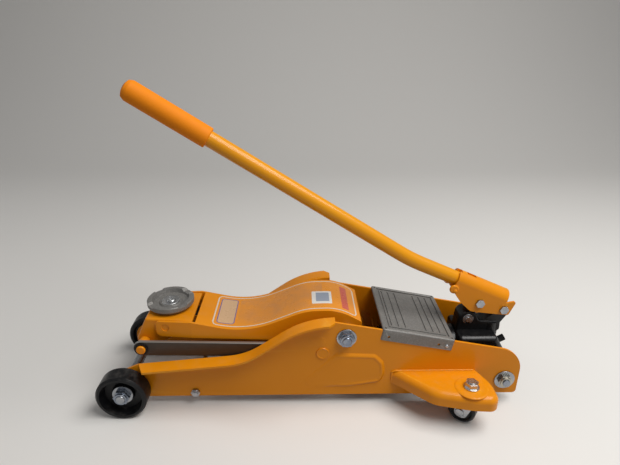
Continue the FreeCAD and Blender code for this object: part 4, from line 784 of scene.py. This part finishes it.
# Saddle
def saddle_washer():
    """Plated washer with a rolled rim round the saddle's screw."""
    low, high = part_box("saddle")
    head_low, head_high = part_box("saddle_screw")
    hole = (head_high[0] - head_low[0]) * 1000 / 2 + WASHER_PLAY
    back = (low[0] + high[0]) / 2
    above = Vector((back + BESIDE_SCREW / 1000, 0, 1))
    seat = surface("saddle").ray_cast(above, DOWNWARD)[0]
    rim = WASHER_RADIUS
    profile = [(hole, 0.05), (hole, 0.7), (hole + 0.4, 0.85)]
    profile += [(rim - 1.6, 0.85), (rim - 1.1, 1.05), (rim - 0.5, 1.0), (rim - 0.1, 0.7), (rim, 0.05)]
    points = turned_points(profile, Vector((back, 0, seat.z)), UPWARD, WASHER_SIDES)
    faces = turned_out(grid_faces(len(profile), WASHER_SIDES, True))
    new_piece("saddle_washer", points, faces, "saddle", "bright_steel")


# Label on the arm's cover
def label_finish():
    """Printed film with an outlined border, soft patches, a plain tag and a coloured end."""
    finish, tree, shader = new_finish("blank_label")
    spot = add(tree, "ShaderNodeUVMap", uv_map="label").outputs[0]
    parts = add(tree, "ShaderNodeSeparateXYZ", {0: spot})
    along = parts.outputs["X"]
    across = parts.outputs["Y"]

    def frame_mask(centre, middle, half_length, half_width, corner, low, high):
        """1 where the distance from a rounded rectangle's edge lies between low and high."""
        dx = calculate(tree, "ABSOLUTE", calculate(tree, "SUBTRACT", along, centre))
        dy = calculate(tree, "ABSOLUTE", calculate(tree, "SUBTRACT", across, middle))
        qx = calculate(tree, "SUBTRACT", dx, half_length - corner)
        qy = calculate(tree, "SUBTRACT", dy, half_width - corner)
        px = calculate(tree, "MAXIMUM", qx, 0.0)
        py = calculate(tree, "MAXIMUM", qy, 0.0)
        px_squared = calculate(tree, "MULTIPLY", px, px)
        py_squared = calculate(tree, "MULTIPLY", py, py)
        outside = calculate(tree, "SQRT", calculate(tree, "ADD", px_squared, py_squared))
        inside = calculate(tree, "MINIMUM", calculate(tree, "MAXIMUM", qx, qy), 0.0)
        distance = calculate(tree, "SUBTRACT", calculate(tree, "ADD", outside, inside), corner)
        above = calculate(tree, "GREATER_THAN", distance, low)
        below = calculate(tree, "LESS_THAN", distance, high)
        return calculate(tree, "MULTIPLY", above, below)

    middle = LABEL_LENGTH / 2
    filled = (-60, 0)
    ground = (0.82, 0.29, 0.008, 1)
    faded = (0.66, 0.26, 0.05, 1)
    white = (0.78, 0.76, 0.72, 1)
    border = (0.76, 0.66, 0.54, 1)
    light = (0.66, 0.42, 0.23, 1)
    violet = (0.16, 0.12, 0.30, 1)
    blue_grey = (0.30, 0.34, 0.42, 1)
    red = (0.60, 0.10, 0.055, 1)
    front_block = (17, 0, 12, 31, 5)
    print_block = (middle - 6, 0, 58, 31, 3)
    tag = (LABEL_LENGTH - 46, -8, 13.5, 16, 1.5)
    tag_box = (LABEL_LENGTH - 45, -7, 9, 11.5, 0.5)
    end_band = (LABEL_LENGTH - 15, -1, 4.5, 29, 1)
    film = (middle, 0, middle, LABEL_HALF_WIDTH, LABEL_CORNER)
    cloud = use(tree, PATCHES, {"Size": 45.0, "Contrast": 0.25})["Mask"]
    printed = calculate(tree, "MULTIPLY", frame_mask(*print_block, *filled), cloud)
    shade = blend_colours(tree, printed, ground, faded)
    shade = blend_colours(tree, frame_mask(*front_block, *filled), shade, light)
    shade = blend_colours(tree, frame_mask(*front_block, -1.3, 0), shade, violet)
    shade = blend_colours(tree, frame_mask(*end_band, *filled), shade, red)
    shade = blend_colours(tree, frame_mask(*tag, *filled), shade, white)
    shade = blend_colours(tree, frame_mask(*tag_box, *filled), shade, blue_grey)
    shade = blend_colours(tree, frame_mask(*film, -1.8, 1), shade, border)
    tree.links.new(shade, shader.inputs["Base Color"])
    patches = use(tree, PATCHES, {"Size": 60.0, "Contrast": 0.25})["Mask"]
    dull = calculate(tree, "ADD", calculate(tree, "MULTIPLY", patches, 0.1), 0.24)
    tree.links.new(dull, shader.inputs["Roughness"])
    fine = use(tree, GRAIN, {"Size": 160.0, "Height": 0.25, "Strength": 0.12})["Normal"]
    tree.links.new(fine, shader.inputs["Normal"])
    shader.inputs["Coat Weight"].default_value = 0.5
    shader.inputs["Coat Roughness"].default_value = 0.08
    return finish


def label():
    """Thin film that follows the cover's curve, with rounded corners."""
    tree = surface("lift_arm")
    rows = 90
    columns = 30
    points = []
    spots = []
    for row in range(rows):
        along = LABEL_LENGTH * row / (rows - 1)
        inward = max(LABEL_CORNER - along, LABEL_CORNER - (LABEL_LENGTH - along), 0)
        half = LABEL_HALF_WIDTH - LABEL_CORNER + math.sqrt(max(LABEL_CORNER ** 2 - inward ** 2, 0))
        for column in range(columns):
            across = half * (2 * column / (columns - 1) - 1)
            top = place(LABEL_FRONT + along, across, CLEAR_ABOVE)
            spot, normal = tree.ray_cast(top, DOWNWARD)[:2]
            points.append(spot + normal.normalized() * LABEL_RISE / 1000)
            spots.append((along, across))
    faces = turned_out(grid_faces(rows, columns))
    piece = new_piece("blank_label", points, faces, "lift_arm", "yellow_paint", label_finish())
    layer = piece.data.uv_layers.new(name="label")
    for loop in piece.data.loops:
        layer.data[loop.index].uv = spots[loop.vertex_index]


# Bend of the side plates under their flange
def flange_bends():
    """Hollow bend where the sheet turns out into the flange, from its tip to the hump."""
    rows = 120
    arc_steps = 10
    for name, side in BOTH_SIDES:
        tree = surface(name + "_side_plate")
        points = []
        for row in range(rows):
            along = row / (rows - 1)
            back = BEND_FRONT + (BEND_REAR - BEND_FRONT) * along
            radius = BEND_RADIUS * min(1, 0.3 + along * 4, 0.45 + (1 - along) * 5)
            start = place(back, side * (PLATE_OUTSIDE + 0.6 * radius), BELOW_FLANGE)
            under = tree.ray_cast(start, UPWARD)[0].z * 1000
            for turn in even_turns(0, 90, arc_steps):
                out = PLATE_OUTSIDE + radius * (1 - math.cos(turn))
                up = under - radius * (1 - math.sin(turn))
                points.append(place(back, side * out, up))
            points.append(place(back, side * (PLATE_OUTSIDE - BEND_OVERLAP), under + BEND_OVERLAP))
        columns = arc_steps + 2
        faces = grid_faces(rows, columns)
        faces.append(tuple(range(columns)))
        faces.append(tuple(range((rows - 1) * columns, rows * columns)))
        faces = turned_out(faces, side)
        new_piece(name + "_flange_bend", points, faces, "frame", "yellow_paint")


# Borders of the side plates' raised panels
def rounded_outline(corners):
    """Closed line of (back, up) points round (back, up, radius) corners."""
    line = []
    for i, (back, up, radius) in enumerate(corners):
        corner = Vector((back, up))
        before = (Vector(corners[i - 1][:2]) - corner).normalized()
        after = (Vector(corners[(i + 1) % len(corners)][:2]) - corner).normalized()
        half = before.angle(after) / 2
        centre = corner + (before + after).normalized() * radius / math.sin(half)
        first = corner + before * radius / math.tan(half) - centre
        last = corner + after * radius / math.tan(half) - centre
        line += [centre + first.lerp(last, k / 12).normalized() * radius for k in range(13)]
    dense = []
    for start, end in zip(line, line[1:] + line[:1]):
        count = max(1, int((end - start).length / 2))
        dense += [start.lerp(end, k / count) for k in range(count)]
    return dense


def panel_borders():
    """Rounded pressed step along each raised panel's outline."""
    line = rounded_outline([(PIVOT_BACK + back, PIVOT_UP + up, radius) for back, up, radius in PANEL_CORNERS])
    count = len(line)
    for name, side in BOTH_SIDES:
        tree = surface(name + "_side_plate")
        points = []
        for inward in STEP_PLACES:
            for k, spot in enumerate(line):
                along = (line[(k + 1) % count] - line[k - 1]).normalized()
                inner = Vector((along.y, -along.x))
                middle = spot + inner * PANEL_INSIDE
                start = place(middle.x, side * CLEAR_OUTSIDE, middle.y)
                panel = tree.ray_cast(start, Vector((0, -side, 0)))[0]
                height = abs(panel.y) * 1000 - PLATE_OUTSIDE
                lift = height * math.sin(math.pi / 2 * min(1, inward / STEP_WIDTH)) + STEP_RISE
                rearward = min(1, max(0, (spot.x - RIDGE_START) / RIDGE_FADE))
                lift += rearward * STEP_RIDGE * math.sin(math.pi * inward / STEP_PLACES[-1]) ** 2
                if inward in (STEP_PLACES[0], STEP_PLACES[-1]):
                    lift -= STEP_SINK
                here = spot + inner * inward
                points.append(place(here.x, side * (PLATE_OUTSIDE + lift), here.y))
        faces = turned_out(grid_faces(len(STEP_PLACES), count, True), side)
        new_piece(name + "_panel_border", points, faces, "frame", "yellow_paint")


# Rear corners of the handle socket
def socket_corners():
    """Corner of each cheek behind the handle's pivot bolt."""
    bolt = Vector(SOCKET_BOLT)
    line = []
    for spot in rounded_outline(CHEEK_CORNERS):
        reach = max((spot - bolt).length, SOCKET_BOLT_RADIUS)
        line.append(bolt + (spot - bolt).normalized() * reach)
    count = len(line)
    for name, side in BOTH_SIDES:
        points = []
        for across in sorted((side * CHEEK_INSIDE, side * CHEEK_OUTSIDE)):
            points += [place(spot.x, across, spot.y) for spot in line]
        corner = new_piece(name + "_socket_corner", points, closed_faces(2, count), "handle", "yellow_paint")
        break_edges(corner, BROKEN_EDGE["yellow_paint"], merge_flats=False)


# Welds
def weld_bead(name, points, seed):
    """Rippled bead of weld along a line on the frame, under the paint."""
    line = []
    for start, end in zip(points, points[1:]):
        count = max(2, int((end - start).length * 1000 / WELD_STEP))
        line += [start.lerp(end, k / count) for k in range(count)]
    line.append(points[-1])
    bead, faces = tube_along(line, WELD_RADIUS / 1000, WELD_SIDES)
    for index, point in enumerate(bead):
        row = index // WELD_SIDES
        centre = line[row]
        ripple = 1 + 0.08 * math.sin(row * 2.1 + seed) + 0.06 * math.sin(row * 0.37 + seed * 3)
        rows_to_end = min(row, len(line) - 1 - row)
        bead[index] = centre + (point - centre) * ripple * min(1, 0.35 + rows_to_end / 3)
    new_piece(name, bead, faces, "frame", "yellow_paint")


def welds():
    """Bead above each wing bracket, where it meets the side plate."""
    for name, side in BOTH_SIDES:
        out = side * (PLATE_OUTSIDE + 0.2)
        weld_bead(name + "_wing_weld", [place(back, out, up) for back, up in WELD_LINE], side)


# Floor, light and camera
def seen_directly(tree):
    """1 where the camera sees the surface itself, a reflection of it or through glass, else 0."""
    ray = add(tree, "ShaderNodeLightPath").outputs
    seen = calculate(tree, "MAXIMUM", ray["Is Camera Ray"], ray["Is Glossy Ray"])
    return calculate(tree, "MAXIMUM", seen, ray["Is Transmission Ray"])


def floor():
    """Pale floor that curves up behind the jack."""
    finish, tree, shader = new_finish("studio_floor")
    seen = seen_directly(tree)
    shade = blend_colours(tree, seen, (0.40, 0.39, 0.375, 1), (0.80, 0.785, 0.76, 1))
    tree.links.new(shade, shader.inputs["Base Color"])
    shader.inputs["Roughness"].default_value = 0.8
    profile = [(FLOOR_FRONT, 0.0), (CURVE_START, 0.0)]
    for turn in even_turns(0, 90, 12)[1:]:
        up = CURVE_RADIUS - CURVE_RADIUS * math.cos(turn)
        profile.append((CURVE_START + CURVE_RADIUS * math.sin(turn), up))
    profile.append((CURVE_START + CURVE_RADIUS, BACKDROP_TOP))
    points = []
    for away, up in profile:
        points += [(-FLOOR_HALF_WIDTH, away, up), (FLOOR_HALF_WIDTH, away, up)]
    mesh = bpy.data.meshes.new("studio_floor")
    mesh.from_pydata(points, [], grid_faces(len(profile), 2))
    mesh.materials.append(finish)
    for face in mesh.polygons:
        face.use_smooth = True
    sheet = bpy.data.objects.new("studio_floor", mesh)
    bpy.context.scene.collection.objects.link(sheet)


def area_light(name, location, target, size, power, colour):
    """Rectangular light of a size in metres and a power in watts, turned to a target."""
    data = bpy.data.lights.new(name, "AREA")
    data.shape = "RECTANGLE"
    data.size = size[0]
    data.size_y = size[1]
    data.energy = power
    data.color = colour
    lamp = bpy.data.objects.new(name, data)
    lamp.location = location
    lamp.rotation_euler = (Vector(target) - Vector(location)).to_track_quat("-Z", "Y").to_euler()
    bpy.context.scene.collection.objects.link(lamp)


def lights():
    """Large soft light from above, two weak ones, and an even surround."""
    area_light(
        "top_softbox",
        location=(0.75, -0.35, 1.55),
        target=(0, 0, 0.05),
        size=(1.3, 0.8),
        power=27,
        colour=(1, 0.985, 0.96),
    )
    area_light(
        "left_softbox",
        location=(-1.5, 0.3, 1.1),
        target=(0, 0, 0.1),
        size=(0.9, 0.9),
        power=2.2,
        colour=(1, 1, 1),
    )
    area_light(
        "front_fill",
        location=(0.5, -1.8, 0.9),
        target=(0, 0, 0.1),
        size=(1.4, 0.8),
        power=1.0,
        colour=(1, 0.98, 0.95),
    )
    world = bpy.data.worlds.new("studio")
    bpy.context.scene.world = world
    world.use_nodes = True
    tree = world.node_tree
    sky = tree.nodes["Background"]
    sky.inputs["Color"].default_value = (0.80, 0.80, 0.80, 1)
    seen = seen_directly(tree)
    strength = stepped(tree, seen, 0.0, 1.0, SURROUND_LIGHT, SURROUND_SEEN)
    tree.links.new(strength, sky.inputs["Strength"])


def camera():
    """Camera where the photo was taken from."""
    ahead = Vector(
        (
            math.sin(CAMERA_YAW) * math.cos(CAMERA_PITCH),
            math.cos(CAMERA_YAW) * math.cos(CAMERA_PITCH),
            -math.sin(CAMERA_PITCH),
        )
    )
    right = ahead.cross(UPWARD).normalized()
    up = right.cross(ahead)
    tilted_right = right * math.cos(CAMERA_ROLL) + up * math.sin(CAMERA_ROLL)
    tilted_up = up * math.cos(CAMERA_ROLL) - right * math.sin(CAMERA_ROLL)
    data = bpy.data.cameras.new("photo_camera")
    data.sensor_width = SENSOR_WIDTH
    data.lens = FOCAL_PIXELS / PHOTO_WIDTH * SENSOR_WIDTH
    data.clip_start = 0.01
    photo_camera = bpy.data.objects.new("photo_camera", data)
    turn = Matrix((tilted_right, tilted_up, -ahead)).transposed().to_4x4()
    photo_camera.matrix_world = Matrix.Translation(CAMERA_PLACE) @ turn
    bpy.context.scene.collection.objects.link(photo_camera)
    bpy.context.scene.camera = photo_camera


bpy.context.scene.view_settings.view_transform = "Standard"
camera()
floor()
lights()
finish_cad_nodes()
return_springs()
release_knob()
saddle_washer()
label()
flange_bends()
panel_borders()
socket_corners()
welds()
